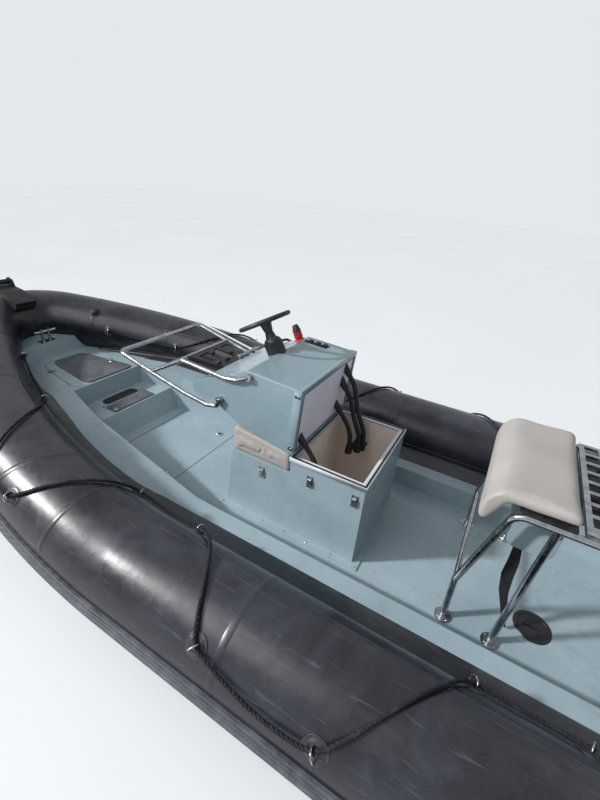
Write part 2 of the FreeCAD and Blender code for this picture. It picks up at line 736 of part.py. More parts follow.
def collar_strip():
    """The dark fabric strip that seals the deck edge to the port tube."""
    thickness = COLLAR_THICKNESS
    far = TUBE_HALF_SPREAD - 60
    outline = [(x, plan_half_breadth(x, 0) - inset) for x, inset in COLLAR_EDGE]
    outline += [(COLLAR_EDGE[-1][0], far), (WELL_AFT_X, far)]
    floor = [(WELL_AFT_X, LINER_BASE), (TUBE_NOSE_X, LINER_BASE)]
    lying = below_deck_edge(thickness + 0.3, floor)
    lying = lying.common(plan_prism(outline, LINER_BASE + 20, PLATFORM_TOP + 60))
    high = math.radians(COLLAR_TOP_ANGLE)
    low = math.radians(COLLAR_LOW_ANGLE)
    middle = (high + low) / 2
    section = []
    for radius, turns in ((TUBE_RADIUS - 20, (high, middle, low)),
                          (TUBE_RADIUS + thickness, (low, middle, high))):
        section.append([Vector(WELL_AFT_X, TUBE_HALF_SPREAD + radius * math.cos(turn),
                               TUBE_CENTRE_HEIGHT + radius * math.sin(turn)) for turn in turns])
    inner, outer = section
    edges = [Part.Arc(*inner).toShape(), Part.makeLine(inner[2], outer[0]),
             Part.Arc(*outer).toShape(), Part.makeLine(outer[2], inner[0])]
    band = fused(along_tube(Part.Face(Part.Wire(edges)), WELL_AFT_X))
    strip = fused([band, lying])
    return largest(strip.cut([port_tube(TUBE_RADIUS + SKIN_GAP), below_deck_edge(0.3, floor)]))


def locker():
    """The moulded locker: an open box aft, a lower seat ledge forward."""
    aft = LOCKER_AFT_X
    front = LOCKER_AFT_X + LOCKER_LENGTH
    opening_front = LOCKER_OPENING_FRONT_X
    body = side_prism([
        (aft, SOLE), (front, SOLE), (front - LOCKER_FRONT_RAKE, SEAT_LEDGE_TOP),
        (opening_front, SEAT_LEDGE_TOP), (opening_front, RIM_TOP), (aft, RIM_TOP),
    ], LOCKER_HALF_WIDTH)
    lip = 6.0
    rim = box(aft - lip, opening_front, -LOCKER_HALF_WIDTH - lip, LOCKER_HALF_WIDTH + lip,
              RIM_TOP - RIM_DEPTH, RIM_TOP)
    foot = box(aft - LOCKER_FLANGE, front + LOCKER_FLANGE, -LOCKER_HALF_WIDTH - LOCKER_FLANGE,
               LOCKER_HALF_WIDTH + LOCKER_FLANGE, SOLE, SOLE + LOCKER_FLANGE_THICKNESS)
    room = locker_room(0)
    groove = gasket_ring(0.3, GASKET_HEIGHT)
    return fused([body, rim, foot]).cut([room, groove])


def locker_room(inset):
    """The open space inside the locker."""
    low = SOLE + LOCKER_WALL + inset
    return box(LOCKER_AFT_X + LOCKER_WALL + inset, LOCKER_OPENING_FRONT_X - LOCKER_WALL - inset,
               -LOCKER_HALF_WIDTH + LOCKER_WALL + inset, LOCKER_HALF_WIDTH - LOCKER_WALL - inset,
               low, RIM_TOP + 1)


def gasket_ring(growth, height):
    """A rectangular ring in the rim, as tall as the seal or its groove."""
    centre_in = LOCKER_WALL / 2 - 1
    outer_in = centre_in - GASKET_WIDTH / 2 - growth
    inner_in = centre_in + GASKET_WIDTH / 2 + growth
    low = RIM_TOP - GASKET_SUNK - growth
    rings = []
    for inset in (outer_in, inner_in):
        rings.append(box(LOCKER_AFT_X + inset, LOCKER_OPENING_FRONT_X - inset,
                         -LOCKER_HALF_WIDTH + inset, LOCKER_HALF_WIDTH - inset,
                         low, low + height + growth))
    return rings[0].cut(rings[1])


def locker_gasket():
    return gasket_ring(0, GASKET_HEIGHT)


def locker_lining():
    room = locker_room(0.2)
    top = box(LOCKER_AFT_X - 9, LOCKER_OPENING_FRONT_X + 9, -LOCKER_HALF_WIDTH - 9,
              LOCKER_HALF_WIDTH + 9, RIM_TOP - 3, RIM_TOP + 9)
    return room.cut([locker_room(LINING_THICKNESS), top])


LATCHES = [
    # x, side, top height above the sole
    (LOCKER_AFT_X + 50, 1, 500.0),
    (LOCKER_AFT_X + 320, 1, 500.0),
    (LOCKER_AFT_X + 640, 1, 420.0),
    (LOCKER_AFT_X + 50, -1, 500.0),
]


def locker_latches():
    """Toggle latches: a plate, a bowed lever and a wire loop on each."""
    latches = []
    for x, side, top in LATCHES:
        skin = LOCKER_HALF_WIDTH + 0.3
        plate = box(x - 18, x + 18, skin, skin + 3, SOLE + top - 95, SOLE + top - 15)
        lever = box(x - 11, x + 11, skin + 3, skin + 15, SOLE + top - 80, SOLE + top - 30)
        lever = lever.makeFillet(5, [edge for edge in lever.Edges
                                     if abs(edge.tangentAt(edge.FirstParameter).x) > 0.9])
        latch = fused([plate, lever])
        latches.append(latch if side > 0 else mirrored(latch))
    return Part.makeCompound(latches)


def front_cushion():
    aft = LOCKER_OPENING_FRONT_X + HINGE_LEAF_THICKNESS + 3
    front = LOCKER_AFT_X + LOCKER_LENGTH - LOCKER_FRONT_RAKE + FRONT_CUSHION_OVERHANG
    base = SEAT_LEDGE_TOP + 0.3
    slab = side_prism([
        (aft, base), (front, base), (front, SEAT_LEDGE_TOP + FRONT_CUSHION_FRONT_HEIGHT),
        (aft, SEAT_LEDGE_TOP + FRONT_CUSHION_AFT_HEIGHT),
    ], LOCKER_HALF_WIDTH + 2)
    top_edges = [edge for edge in slab.Edges
                 if edge.BoundBox.ZMin > SEAT_LEDGE_TOP + 60
                 and abs(edge.tangentAt(edge.FirstParameter).y) < 0.5]
    return slab.makeFillet(22, top_edges)


def closed_point(run, y, rise):
    """A point on the console as it stands when closed."""
    return Vector(HINGE_X - run, y, HINGE_Z + rise)


def tipped(shape, degrees=CONSOLE_TILT):
    """Turns a closed-console shape about the hinge to where the console lies."""
    return shape.rotated(Vector(HINGE_X, 0, HINGE_Z), Y_AXIS, degrees)


def console_outline():
    """Side outline of the closed console: aft face, raked dash, rounded top, front."""
    corner = [
        (0, -CONSOLE_LIP), (CONSOLE_DEPTH, -CONSOLE_LIP),
        (CONSOLE_DASH_RUN, CONSOLE_DASH_RISE),
        (CONSOLE_TOP_RUN, CONSOLE_TOP_RISE), (CONSOLE_NOSE_RUN, CONSOLE_TOP_RISE - 10),
        (CONSOLE_WAIST_RUN, CONSOLE_WAIST_RISE), (CONSOLE_SHIN_RUN, CONSOLE_SHIN_RISE),
        (5, 40),
    ]
    point = [closed_point(run, 0, rise) for run, rise in corner]
    crown = closed_point((CONSOLE_TOP_RUN + CONSOLE_NOSE_RUN) / 2, 0, CONSOLE_HEIGHT)
    edges = [
        Part.makeLine(point[0], point[1]), Part.makeLine(point[1], point[2]),
        Part.makeLine(point[2], point[3]), Part.Arc(point[3], crown, point[4]).toShape(),
        Part.makeLine(point[4], point[5]), Part.makeLine(point[5], point[6]),
        Part.makeLine(point[6], point[7]), Part.makeLine(point[7], point[0]),
    ]
    return Part.Wire(edges)


def console_block(inset):
    wire = console_outline()
    if inset:
        wire = wire.makeOffset2D(-inset)
    half = CONSOLE_HALF_WIDTH - inset
    face = Part.Face(wire).translated(Vector(0, -half, 0))
    return face.extrude(Vector(0, 2 * half, 0))


def console_shell():
    """The moulded console, hollow, with an inward flange round its open bottom."""
    block = console_block(0)
    long_edges = [edge for edge in block.Edges
                  if edge.BoundBox.YLength < 1 and edge.BoundBox.ZMin > HINGE_Z + 60
                  and edge.BoundBox.ZMax < HINGE_Z + CONSOLE_DASH_RISE + 1
                  and edge.BoundBox.XMin < HINGE_X - CONSOLE_DASH_RUN + 5]
    aft_edges = [edge for edge in block.Edges
                 if edge.BoundBox.YLength < 1 and edge.BoundBox.XLength < 10
                 and edge.BoundBox.ZLength > 300 and edge.BoundBox.XMax < HINGE_X - 350]
    block = block.makeFillet(CONSOLE_EDGE_RADIUS, long_edges + aft_edges)
    opening = box(HINGE_X - CONSOLE_DEPTH + CONSOLE_FLANGE, HINGE_X - CONSOLE_FLANGE,
                  -CONSOLE_HALF_WIDTH + CONSOLE_FLANGE, CONSOLE_HALF_WIDTH - CONSOLE_FLANGE,
                  HINGE_Z - CONSOLE_LIP - 1, HINGE_Z + CONSOLE_WALL)
    notches = []
    for y in HINGE_PLACES:
        notches.append(hinge_round(y, HINGE_HALF_WIDTH + HINGE_NOTCH,
                                   HINGE_KNUCKLE_RADIUS + HINGE_NOTCH))
        notches.append(moving_leaf(y, 0.3))
    return tipped(block.cut([console_block(CONSOLE_WALL), opening] + notches))


def console_base_panel():
    """The inset panel that closes the console's bottom, seated on the flange."""
    margin = CONSOLE_FLANGE - 8
    low = HINGE_Z - CONSOLE_LIP + CONSOLE_WALL + 0.3
    panel = box(HINGE_X - CONSOLE_DEPTH + margin, HINGE_X - margin,
                -CONSOLE_HALF_WIDTH + margin, CONSOLE_HALF_WIDTH - margin,
                low, low + BASE_PANEL_THICKNESS)
    return tipped(panel)


HINGE_HALF_WIDTH = 38.0
HINGE_MOVING_HALF_WIDTH = 15.0


def hinge_round(y, half_width, radius):
    """A cylinder about the console's hinge axis."""
    return rod(Vector(HINGE_X, y - half_width, HINGE_Z), Vector(HINGE_X, y + half_width, HINGE_Z),
               radius)


def moving_leaf(y, growth):
    """The console's hinge leaf, let into the underside of its flange."""
    half = HINGE_MOVING_HALF_WIDTH + growth
    low = HINGE_Z - CONSOLE_LIP
    return box(HINGE_X - HINGE_LEAF_LENGTH - growth, HINGE_X, y - half, y + half,
               low - growth, low + HINGE_LEAF_THICKNESS + growth)


def console_hinge():
    """The console's half of its two hinges: a leaf and a bored knuckle each."""
    leaves = []
    for y in HINGE_PLACES:
        knuckle = hinge_round(y, HINGE_MOVING_HALF_WIDTH, HINGE_KNUCKLE_RADIUS)
        bore = hinge_round(y, HINGE_HALF_WIDTH, HINGE_PIN_RADIUS + HINGE_PIN_CLEARANCE)
        leaves.append(tipped(fused([knuckle, moving_leaf(y, 0)]).cut(bore)))
    return Part.makeCompound(leaves)


def locker_hinge():
    """The locker's half: a leaf on its front wall, two knuckles and the pin."""
    leaves = []
    wall = LOCKER_OPENING_FRONT_X + 0.3
    top = HINGE_Z - HINGE_KNUCKLE_RADIUS + 2
    for y in HINGE_PLACES:
        leaf = box(wall, wall + HINGE_LEAF_THICKNESS, y - HINGE_HALF_WIDTH, y + HINGE_HALF_WIDTH,
                   RIM_TOP - 60, top)
        shelf = box(HINGE_X - 4, wall + 1, y - HINGE_HALF_WIDTH, y + HINGE_HALF_WIDTH,
                    top - HINGE_LEAF_THICKNESS - 2, top)
        barrel = hinge_round(y, HINGE_HALF_WIDTH, HINGE_KNUCKLE_RADIUS)
        gap = hinge_round(y, HINGE_MOVING_HALF_WIDTH + 1,
                          HINGE_KNUCKLE_RADIUS + HINGE_SHELF_CLEARANCE)
        pin = hinge_round(y, HINGE_HALF_WIDTH + 3, HINGE_PIN_RADIUS)
        leaves.append(fused([fused([leaf, shelf, barrel]).cut(gap), pin]))
    return Part.makeCompound(leaves)


WHEEL_TURN = math.radians(WHEEL_AXIS_RISE_ANGLE)


def face_run(rise):
    """How far aft of the hinge the console's aft face or raked dash is at a height."""
    if rise <= CONSOLE_DASH_RISE:
        lean = (CONSOLE_DEPTH - CONSOLE_DASH_RUN) / CONSOLE_DASH_RISE
        return CONSOLE_DEPTH - lean * rise
    rake = (CONSOLE_DASH_RUN - CONSOLE_TOP_RUN) / (CONSOLE_TOP_RISE - CONSOLE_DASH_RISE)
    return CONSOLE_DASH_RUN - rake * (rise - CONSOLE_DASH_RISE)


HELM_FOOT = closed_point(face_run(HELM_RISE), 0, HELM_RISE)
WHEEL_AXIS = Vector(-math.cos(WHEEL_TURN), 0, math.sin(WHEEL_TURN))
WHEEL_CENTRE = HELM_FOOT + WHEEL_AXIS * WHEEL_OFFSET


def turned_about(axis_start, axis, profile):
    """Revolves a profile of (distance along, radius) points about an axis."""
    across = Y_AXIS
    points = [axis_start + axis * along + across * radius for along, radius in profile]
    return polygon(points).revolve(axis_start, axis, 360)


def helm_hub():
    """The steering bezel and shaft housing on the console."""
    profile = [(-60, 0), (-60, HELM_RADIUS), (68, HELM_RADIUS), (88, HELM_RADIUS * 0.8),
               (98, HELM_NECK_RADIUS + 6), (HELM_LENGTH, HELM_NECK_RADIUS), (HELM_LENGTH, 0)]
    hub = turned_about(HELM_FOOT, WHEEL_AXIS, profile)
    return tipped(hub.cut(console_block(0)))


def steering_wheel():
    rim = Part.makeTorus(WHEEL_RADIUS, WHEEL_RIM_RADIUS, WHEEL_CENTRE, WHEEL_AXIS)
    boss = turned_about(WHEEL_CENTRE, WHEEL_AXIS,
                        [(HELM_LENGTH + 1 - WHEEL_OFFSET, 0),
                         (HELM_LENGTH + 1 - WHEEL_OFFSET, 24), (-22, 34),
                         (4, 44), (10, 36), (10, 0)])
    across = WHEEL_AXIS.cross(Y_AXIS)
    spokes = []
    for number in range(SPOKE_COUNT):
        turn = math.radians(90 + 360 * number / SPOKE_COUNT)
        way = across * math.sin(turn) + Y_AXIS * math.cos(turn)
        side = WHEEL_AXIS.cross(way)
        inner = WHEEL_CENTRE - WHEEL_AXIS * 12 + way * 20
        outer = WHEEL_CENTRE + way * (WHEEL_RADIUS - 4)
        corners = [inner + side * 22, outer + side * 13, outer - side * 13, inner - side * 22]
        face = polygon(corners)
        spokes.append(face.extrude(WHEEL_AXIS * 8).translated(WHEEL_AXIS * -4))
    return tipped(fused([rim, boss] + spokes))


def on_face(shape, y, rise):
    """Moves a fitting drawn on the plane x = 0, facing +X, onto the aft face or the dash."""
    step = 1.0
    low = rise - step if rise > CONSOLE_DASH_RISE else rise
    lean = math.degrees(math.atan2(face_run(low) - face_run(low + step), step))
    turned = shape.rotated(Vector(0, 0, 0), Z_AXIS, 180).rotated(Vector(0, 0, 0), Y_AXIS, lean)
    return turned.translated(closed_point(face_run(rise) + 0.3, y, rise))


def dash_switches():
    """A switch plate and its rockers on the aft face, to starboard."""
    half = SWITCH_PLATE_LENGTH / 2
    parts = [box(0, 3, -28, 28, -half, half)]
    pitch = (SWITCH_PLATE_LENGTH - 8) / SWITCH_COUNT
    for number in range(SWITCH_COUNT):
        low = -half + 8 + number * pitch
        parts.append(box(3, 9, -19, 19, low, low + pitch - 8))
    return tipped(on_face(fused(parts), -268, 240))


def kill_switch():
    """A round boss, a red collar and a cap on the dash."""
    profile = [(0, 0), (0, 34), (6, 32), (9, 24), (18, 29), (62, 27), (66, 21), (100, 17),
               (104, 8), (104, 0)]
    switch = turned_about(Vector(0, 0, 0), X_AXIS, profile)
    return tipped(on_face(switch, KILL_SWITCH_Y, KILL_SWITCH_RISE))


def engine_control():
    """The shift and throttle box with its lever, on the starboard side."""
    skin = -CONSOLE_HALF_WIDTH - 0.3
    middle = closed_point(CONTROL_RUN, 0, CONTROL_RISE)
    base = box(middle.x - 40, middle.x + 40, skin - 46, skin, middle.z - 60, middle.z + 60)
    base = base.makeFillet(14, [edge for edge in base.Edges
                                if abs(edge.tangentAt(edge.FirstParameter).y) > 0.9])
    pivot = rod(Vector(middle.x, skin - 72, middle.z + 10),
                Vector(middle.x, skin - 40, middle.z + 10), 22)
    lever = bent_tube([Vector(middle.x, skin - 62, middle.z + 10),
                       Vector(middle.x - 25, skin - 64, middle.z + 150),
                       Vector(middle.x - 28, skin - 6, middle.z + 165)], 9, 14)
    return tipped(fused([base, pivot, lever]))


RAIL_SIDE = [
    # run, rise along the rail's side, from its foot on the console
    (165.0, 501.0), (116.0, 500.0), (88.0, 590.0), (97.0, 760.0), (136.0, 1036.0),
    (183.0, 1326.0),
]
RAIL_CROSS_BAR = (148.0, 1029.0)
RAIL_BAR_INSET = 4.0
RAIL_FOOT_RADIUS = 20.0
GRAB_LOOP = [
    # run, rise of the port grab loop, from its foot on the console's side
    (373.0, 313.0), (330.0, 385.0), (312.0, 470.0), (311.0, 780.0),
]
INSTRUMENT_PLATE = 12.0
INSTRUMENT_WINDOWS = [
    # port and starboard edge, bottom and top above the plate's foot
    (30.0, -60.0, 130.0, 250.0), (-90.0, -160.0, 90.0, 250.0), (-190.0, -270.0, 170.0, 250.0),
]
ANTENNA_SIDE = 330.0
ANTENNA_FOOT = (156.0, 716.0)
ANTENNA_TIP = (326.0, 2051.0)


def rail_foot(run, sign, rise):
    """A round flange that holds a rail's end to the console's side."""
    near = closed_point(run, sign * (CONSOLE_HALF_WIDTH + 0.3), rise)
    far = closed_point(run, sign * (RAIL_HALF_SPREAD + 8), rise)
    return rod(near, far, RAIL_FOOT_RADIUS)


def handrail():
    """The console rail: a hoop, its cross bar and a raised grab loop to port."""
    y = RAIL_HALF_SPREAD
    port = [closed_point(run, y, rise) for run, rise in RAIL_SIDE]
    starboard = [Vector(point.x, -point.y, point.z) for point in reversed(port)]
    parts = [bent_tube(port + starboard, RAIL_RADIUS, RAIL_BEND)]
    cross_run, cross_rise = RAIL_CROSS_BAR
    reach = y - RAIL_BAR_INSET
    parts.append(rod(closed_point(cross_run, reach, cross_rise),
                     closed_point(cross_run, -reach, cross_rise), RAIL_RADIUS * 0.8))
    grab = [closed_point(run, y, rise) for run, rise in GRAB_LOOP + [RAIL_CROSS_BAR]]
    parts.append(bent_tube(grab, RAIL_RADIUS * 0.9, RAIL_BEND))
    for sign in (1, -1):
        parts.append(rail_foot(RAIL_SIDE[0][0] - 8, sign, RAIL_SIDE[0][1]))
    parts.append(rail_foot(GRAB_LOOP[0][0], 1, GRAB_LOOP[0][1]))
    return tipped(fused(parts))


def instrument_frame():
    """A dark upright plate with three windows, between the cross bar and the console."""
    run, cross_rise = RAIL_CROSS_BAR
    low = CONSOLE_HEIGHT + 0.4
    high = cross_rise - RAIL_RADIUS * 0.8 - 0.4
    outline = [(-30, low), (20, low), (40, low + 80), (75, high), (-340, high),
               (-175, low + 80), (-150, low)]
    plate = polygon([closed_point(run + 14, y, rise) for y, rise in outline])
    plate = plate.extrude(X_AXIS * INSTRUMENT_PLATE)
    windows = []
    for port, starboard, bottom, top in INSTRUMENT_WINDOWS:
        windows.append(box(HINGE_X - run - 60, HINGE_X - run + 60, starboard, port,
                           HINGE_Z + low + bottom, HINGE_Z + low + top))
    return tipped(plate.cut(windows))


def antenna():
    """A long whip aerial on a ratchet foot at the console's starboard top corner."""
    foot = closed_point(ANTENNA_FOOT[0], -ANTENNA_SIDE, ANTENNA_FOOT[1])
    tip = closed_point(ANTENNA_TIP[0], -ANTENNA_SIDE, ANTENNA_TIP[1])
    way = (tip - foot).normalize()
    base = Part.makeCylinder(19, 8, foot, Z_AXIS)
    socket = rod(foot + Z_AXIS * 4, foot + way * 70, 12)
    whip = Part.makeCone(7, 3, (tip - foot).Length - 60, foot + way * 60, way)
    return tipped(fused([base, socket, whip]))


def seat_frame():
    """The bent stainless frame: side loops, cross bars and bolted feet."""
    tube = SEAT_TUBE_RADIUS
    y = SEAT_HALF_SPREAD
    rail = SEAT_RAIL_Z
    rear_end = SEAT_CUSHION_AFT_X - SEAT_RACK_LENGTH
    foot_top = SOLE + SEAT_FOOT_THICKNESS
    parts = []
    port = [Vector(SEAT_FRONT_X, y, foot_top), Vector(SEAT_FRONT_X + 8, y, SOLE + SEAT_KNEE_HEIGHT),
            Vector(SEAT_TOP_BEND_X, y, rail), Vector(rear_end, y, rail)]
    starboard = [Vector(point.x, -point.y, point.z) for point in reversed(port)]
    parts.append(bent_tube(port + starboard, tube, 60))
    for side in (1, -1):
        parts.append(rod(Vector(SEAT_REAR_FOOT_X, side * (y + 10), foot_top),
                         Vector(SEAT_REAR_FOOT_X - 40, side * y, rail), tube))
        for x, foot_y in ((SEAT_FRONT_X, y), (SEAT_REAR_FOOT_X, y + 10)):
            foot = Vector(x, side * foot_y, SOLE)
            parts.append(Part.makeCylinder(SEAT_FOOT_RADIUS, SEAT_FOOT_THICKNESS, foot, Z_AXIS))
            parts.append(Part.makeCylinder(tube + 7, 26, foot, Z_AXIS))
    knee = Vector(SEAT_FRONT_X + 6, 0, SOLE + SEAT_KNEE_HEIGHT - 12)
    for x, z in ((knee.x, knee.z), (SEAT_TOP_BEND_X - SEAT_BAR_SETBACK, rail),
                 (SEAT_CUSHION_AFT_X - SEAT_BAR_SETBACK / 2, rail)):
        parts.append(rod(Vector(x, -y, z), Vector(x, y, z), tube * 0.85))
    return fused(parts)


def seat_base():
    """The board under the helm cushion."""
    board = box(SEAT_CUSHION_AFT_X + 15, SEAT_TOP_BEND_X - 10, -SEAT_HALF_SPREAD, SEAT_HALF_SPREAD,
                SEAT_RAIL_Z + SEAT_TUBE_RADIUS + 0.3, SEAT_TOP_Z)
    return board


def seat_cushion():
    """The helm cushion: a thick pad whose front edge rolls down."""
    top = SEAT_TOP_Z + SEAT_CUSHION_THICKNESS
    front = SEAT_CUSHION_FRONT_X
    aft = SEAT_CUSHION_AFT_X
    low = top - SEAT_CUSHION_ROLL
    inner = SEAT_TOP_BEND_X + SEAT_TUBE_RADIUS * 2 + 12
    outline = [
        (aft, SEAT_TOP_Z + 0.3), (inner, SEAT_TOP_Z + 0.3), (inner + 46, low + 14),
        (front - 8, low), (front, low + 60), (front - 12, top - 60), (front - 60, top - 8),
        (front - 110, top), (aft + 20, top), (aft, top - 24),
    ]
    return side_prism(outline, SEAT_CUSHION_HALF_WIDTH)


def seat_rack():
    """A grid tray on the rails behind the cushion."""
    aft = SEAT_CUSHION_AFT_X - SEAT_RACK_LENGTH + 30
    front = SEAT_CUSHION_AFT_X - 12
    low = SEAT_RAIL_Z + SEAT_TUBE_RADIUS + 0.3
    half = SEAT_HALF_SPREAD - 6
    tray = box(aft, front, -half, half, low, low + 14)
    cell = 62.0
    bar = 24.0
    rows = int((front - aft - bar) // (cell + bar))
    columns = int((2 * half - bar) // (cell + bar))
    holes = []
    for row in range(rows):
        for column in range(columns):
            x = front - bar - (row + 1) * cell - row * bar
            y = -half + bar + column * (cell + bar)
            holes.append(box(x, x + cell, y, y + cell, low - 1, low + 15))
    return tray.cut(holes)


def seat_box():
    """The moulded stowage box under the helm seat, with rounded lower corners."""
    high = SEAT_RAIL_Z + SEAT_TUBE_RADIUS
    outline = [(SEAT_BOX_AFT_X, -SEAT_BOX_HALF_WIDTH), (SEAT_BOX_FRONT_X, -SEAT_BOX_HALF_WIDTH),
               (SEAT_BOX_FRONT_X, SEAT_BOX_HALF_WIDTH), (SEAT_BOX_AFT_X, SEAT_BOX_HALF_WIDTH)]
    block = plan_prism(outline, SEAT_BOX_LOW_Z, high)
    corners = [edge for edge in block.Edges
               if edge.BoundBox.ZMax < SEAT_BOX_LOW_Z + 1 and edge.BoundBox.XLength < 1]
    block = block.makeFillet(SEAT_BOX_CORNER, corners)
    wall = SEAT_BOX_WALL
    room = box(SEAT_BOX_AFT_X + wall, SEAT_BOX_FRONT_X - wall, -SEAT_BOX_HALF_WIDTH + wall,
               SEAT_BOX_HALF_WIDTH - wall, SEAT_BOX_LOW_Z + SEAT_BOX_CORNER / 2,
               SEAT_RAIL_Z - SEAT_TUBE_RADIUS - wall)
    bars = []
    for x in (SEAT_TOP_BEND_X - SEAT_BAR_SETBACK, SEAT_CUSHION_AFT_X - SEAT_BAR_SETBACK / 2):
        bars.append(rod(Vector(x, -SEAT_HALF_SPREAD, SEAT_RAIL_Z),
                        Vector(x, SEAT_HALF_SPREAD, SEAT_RAIL_Z), SEAT_TUBE_RADIUS * 0.85 + 0.3))
    return block.cut([room] + bars)


SEAT_STRAP = [
    # x, z, half width of the hanging strap, from the box down to the deck
    (-1312.0, SEAT_BOX_LOW_Z - 0.3, 18.0), (-1322.0, 580.0, 24.0), (-1324.0, 480.0, 27.0),
    (-1338.0, 380.0, 22.0), (-1372.0, 265.0, 15.0), (-1405.0, 150.0, 10.0),
]


def seat_strap():
    """The hanging webbing strap."""
    outline = [(x + half, z) for x, z, half in SEAT_STRAP]
    outline += [(x - half, z) for x, z, half in reversed(SEAT_STRAP)]
    face = polygon([Vector(x, SEAT_STRAP_Y, z) for x, z in outline])
    return face.extrude(Vector(0, SEAT_STRAP_THICKNESS, 0))


def deck_plate():
    """A round screw-in inspection plate with a grip bar."""
    foot = Vector(DECK_PLATE_X, DECK_PLATE_Y, SOLE)
    ring = turned_about(foot, Z_AXIS, [(0, 0), (0, DECK_PLATE_RADIUS), (5, DECK_PLATE_RADIUS - 5),
                                       (7, DECK_PLATE_RADIUS - 20), (4, DECK_PLATE_RADIUS - 22),
                                       (4, 0)])
    grip = box(foot.x - 42, foot.x + 42, foot.y - 7, foot.y + 7, SOLE + 3, SOLE + 9)
    return fused([ring, grip])


def bow_cleat():
    """A twin-post mooring cleat on the bow platform."""
    base = box(CLEAT_X - 34, CLEAT_X + 34, -70, 70, PLATFORM_TOP, PLATFORM_TOP + 8)
    parts = [base]
    for y in (-30.0, 30.0):
        parts.append(rod(Vector(CLEAT_X, y, PLATFORM_TOP), Vector(CLEAT_X, y, PLATFORM_TOP
                                                                  + CLEAT_HEIGHT), 12))
    bar = Vector(CLEAT_X, 0, PLATFORM_TOP + CLEAT_HEIGHT - 22)
    parts.append(rod(bar - Y_AXIS * 95, bar + Y_AXIS * 95, 9))
    return fused(parts)


NOSE_TOP = Vector(TUBE_NOSE_X, 0, tube_height(TUBE_NOSE_X)) + SHEER_NORMAL * TUBE_RADIUS


def bow_fairlead():
    """The rubber nose block with cheeks for the mooring roller."""
    half = 90.0
    profile = [(-230, -60), (170, -60), (210, -10), (190, 34), (-60, 42), (-250, 4)]
    points = [NOSE_TOP + SHEER_FORWARD * along + SHEER_NORMAL * up for along, up in profile]
    block = polygon([point - Y_AXIS * half for point in points]).extrude(Y_AXIS * 2 * half)
    cheeks = []
    for y in (-half, half - 14):
        corner = [(60, 38), (180, 34), (176, 84), (150, 100), (90, 92)]
        face = polygon([NOSE_TOP + SHEER_FORWARD * along + SHEER_NORMAL * up + Y_AXIS * y
                        for along, up in corner])
        cheeks.append(face.extrude(Y_AXIS * 14))
    tube = port_tube(TUBE_RADIUS + SKIN_GAP)
    bore = rod(ROLLER_CENTRE - Y_AXIS * 100, ROLLER_CENTRE + Y_AXIS * 100, ROLLER_PIN_RADIUS + 0.05)
    return fused([block] + cheeks).cut([tube, mirrored(tube), bore])


ROLLER_CENTRE = NOSE_TOP + SHEER_FORWARD * 135 + SHEER_NORMAL * 68
ROLLER_RADIUS = 22.0
ROLLER_PIN_RADIUS = 6.0


def bow_roller():
    roller = rod(ROLLER_CENTRE - Y_AXIS * 71, ROLLER_CENTRE + Y_AXIS * 71, ROLLER_RADIUS)
    pin = rod(ROLLER_CENTRE - Y_AXIS * 98, ROLLER_CENTRE + Y_AXIS * 98, ROLLER_PIN_RADIUS)
    return fused([roller, pin])


LIFELINE = [
    # distance forward of the transom, angle round the tube, held in a ring
    (-60, 36, True), (40, 31, False), (150, 27, False), (260, 26, False), (360, 28, False),
    (440, 31, True), (490, 46, False), (540, 62, False), (590, 79, False), (645, 97, False),
    (700, 114, False), (770, 131, False), (850, 144, True), (945, 147, False),
    (1045, 147.5, False), (1140, 146.5, False), (1235, 144, True), (1290, 128, False),
    (1345, 110, False), (1400, 94, False), (1455, 79, False), (1515, 62, False),
    (1575, 45, False), (1650, 27, True), (1755, 24, False), (1865, 24, False),
    (1975, 27.5, False), (2080, 32, False), (2190, 38, True), (2225, 54, False),
    (2262, 70, False), (2305, 86, False), (2355, 102, False), (2415, 118, False),
    (2490, 133, False), (2578, 147, True), (2690, 149, False), (2810, 150, False),
    (2930, 150, False), (3044, 148, True), (3095, 132, False), (3145, 116, False),
    (3200, 100, False), (3260, 84, False), (3320, 68, False), (3380, 52, False),
    (3450, 37, True), (3540, 34, False), (3630, 36, False), (3710, 42, True),
    (3760, 57, False), (3810, 73, False), (3865, 89, False), (3930, 105, False),
    (4010, 121, False), (4105, 136, False), (4210, 149, False), (4313, 158, True),
    (4450, 161, False), (4600, 162, False), (4750, 162, False), (4900, 161, False),
    (5037, 159, True),
]


def lifeline_points():
    points = []
    for distance, angle, held in LIFELINE:
        point, normal = on_tube(distance, angle, RING_LIFT if held else ROPE_LIFT)
        points.append(point)
    return points


def port_lifeline():
    return cord_tube(lifeline_points(), ROPE_RADIUS)


def port_rings():
    """The round patches on the tube, each with the ring that holds the lifeline."""
    points = lifeline_points()
    skin = port_tube(TUBE_RADIUS + 0.3 + PATCH_THICKNESS).cut(port_tube(TUBE_RADIUS + 0.3))
    fittings = []
    for number, (distance, angle, held) in enumerate(LIFELINE):
        if not held:
            continue
        before = points[max(number - 1, 0)]
        after = points[min(number + 1, len(points) - 1)]
        way = (after - before).normalize()
        foot, normal = on_tube(distance, angle, -20)
        patch = Part.makeCylinder(PATCH_RADIUS, 40, foot, normal).common(skin)
        centre = points[number]
        if 0 < number < len(points) - 1:
            centre = corner_arc(before, centre, after, cord_bend)[1]
        centre -= way * RING_THICKNESS / 2
        ring = Part.makeCylinder(RING_RADIUS, RING_THICKNESS, centre, way)
        hole = Part.makeCylinder(ROPE_RADIUS + RING_CLEARANCE, RING_THICKNESS * 3,
                                 centre - way * RING_THICKNESS, way)
        ring = ring.cut(port_tube(TUBE_RADIUS + 0.4))
        fittings.append(fused([patch, ring]).cut(hole))
    return Part.makeCompound(fittings)


VALVES = [
    # distance forward of the transom, angle round the tube
    (600.0, 128.0), (5225.0, 128.0),
]


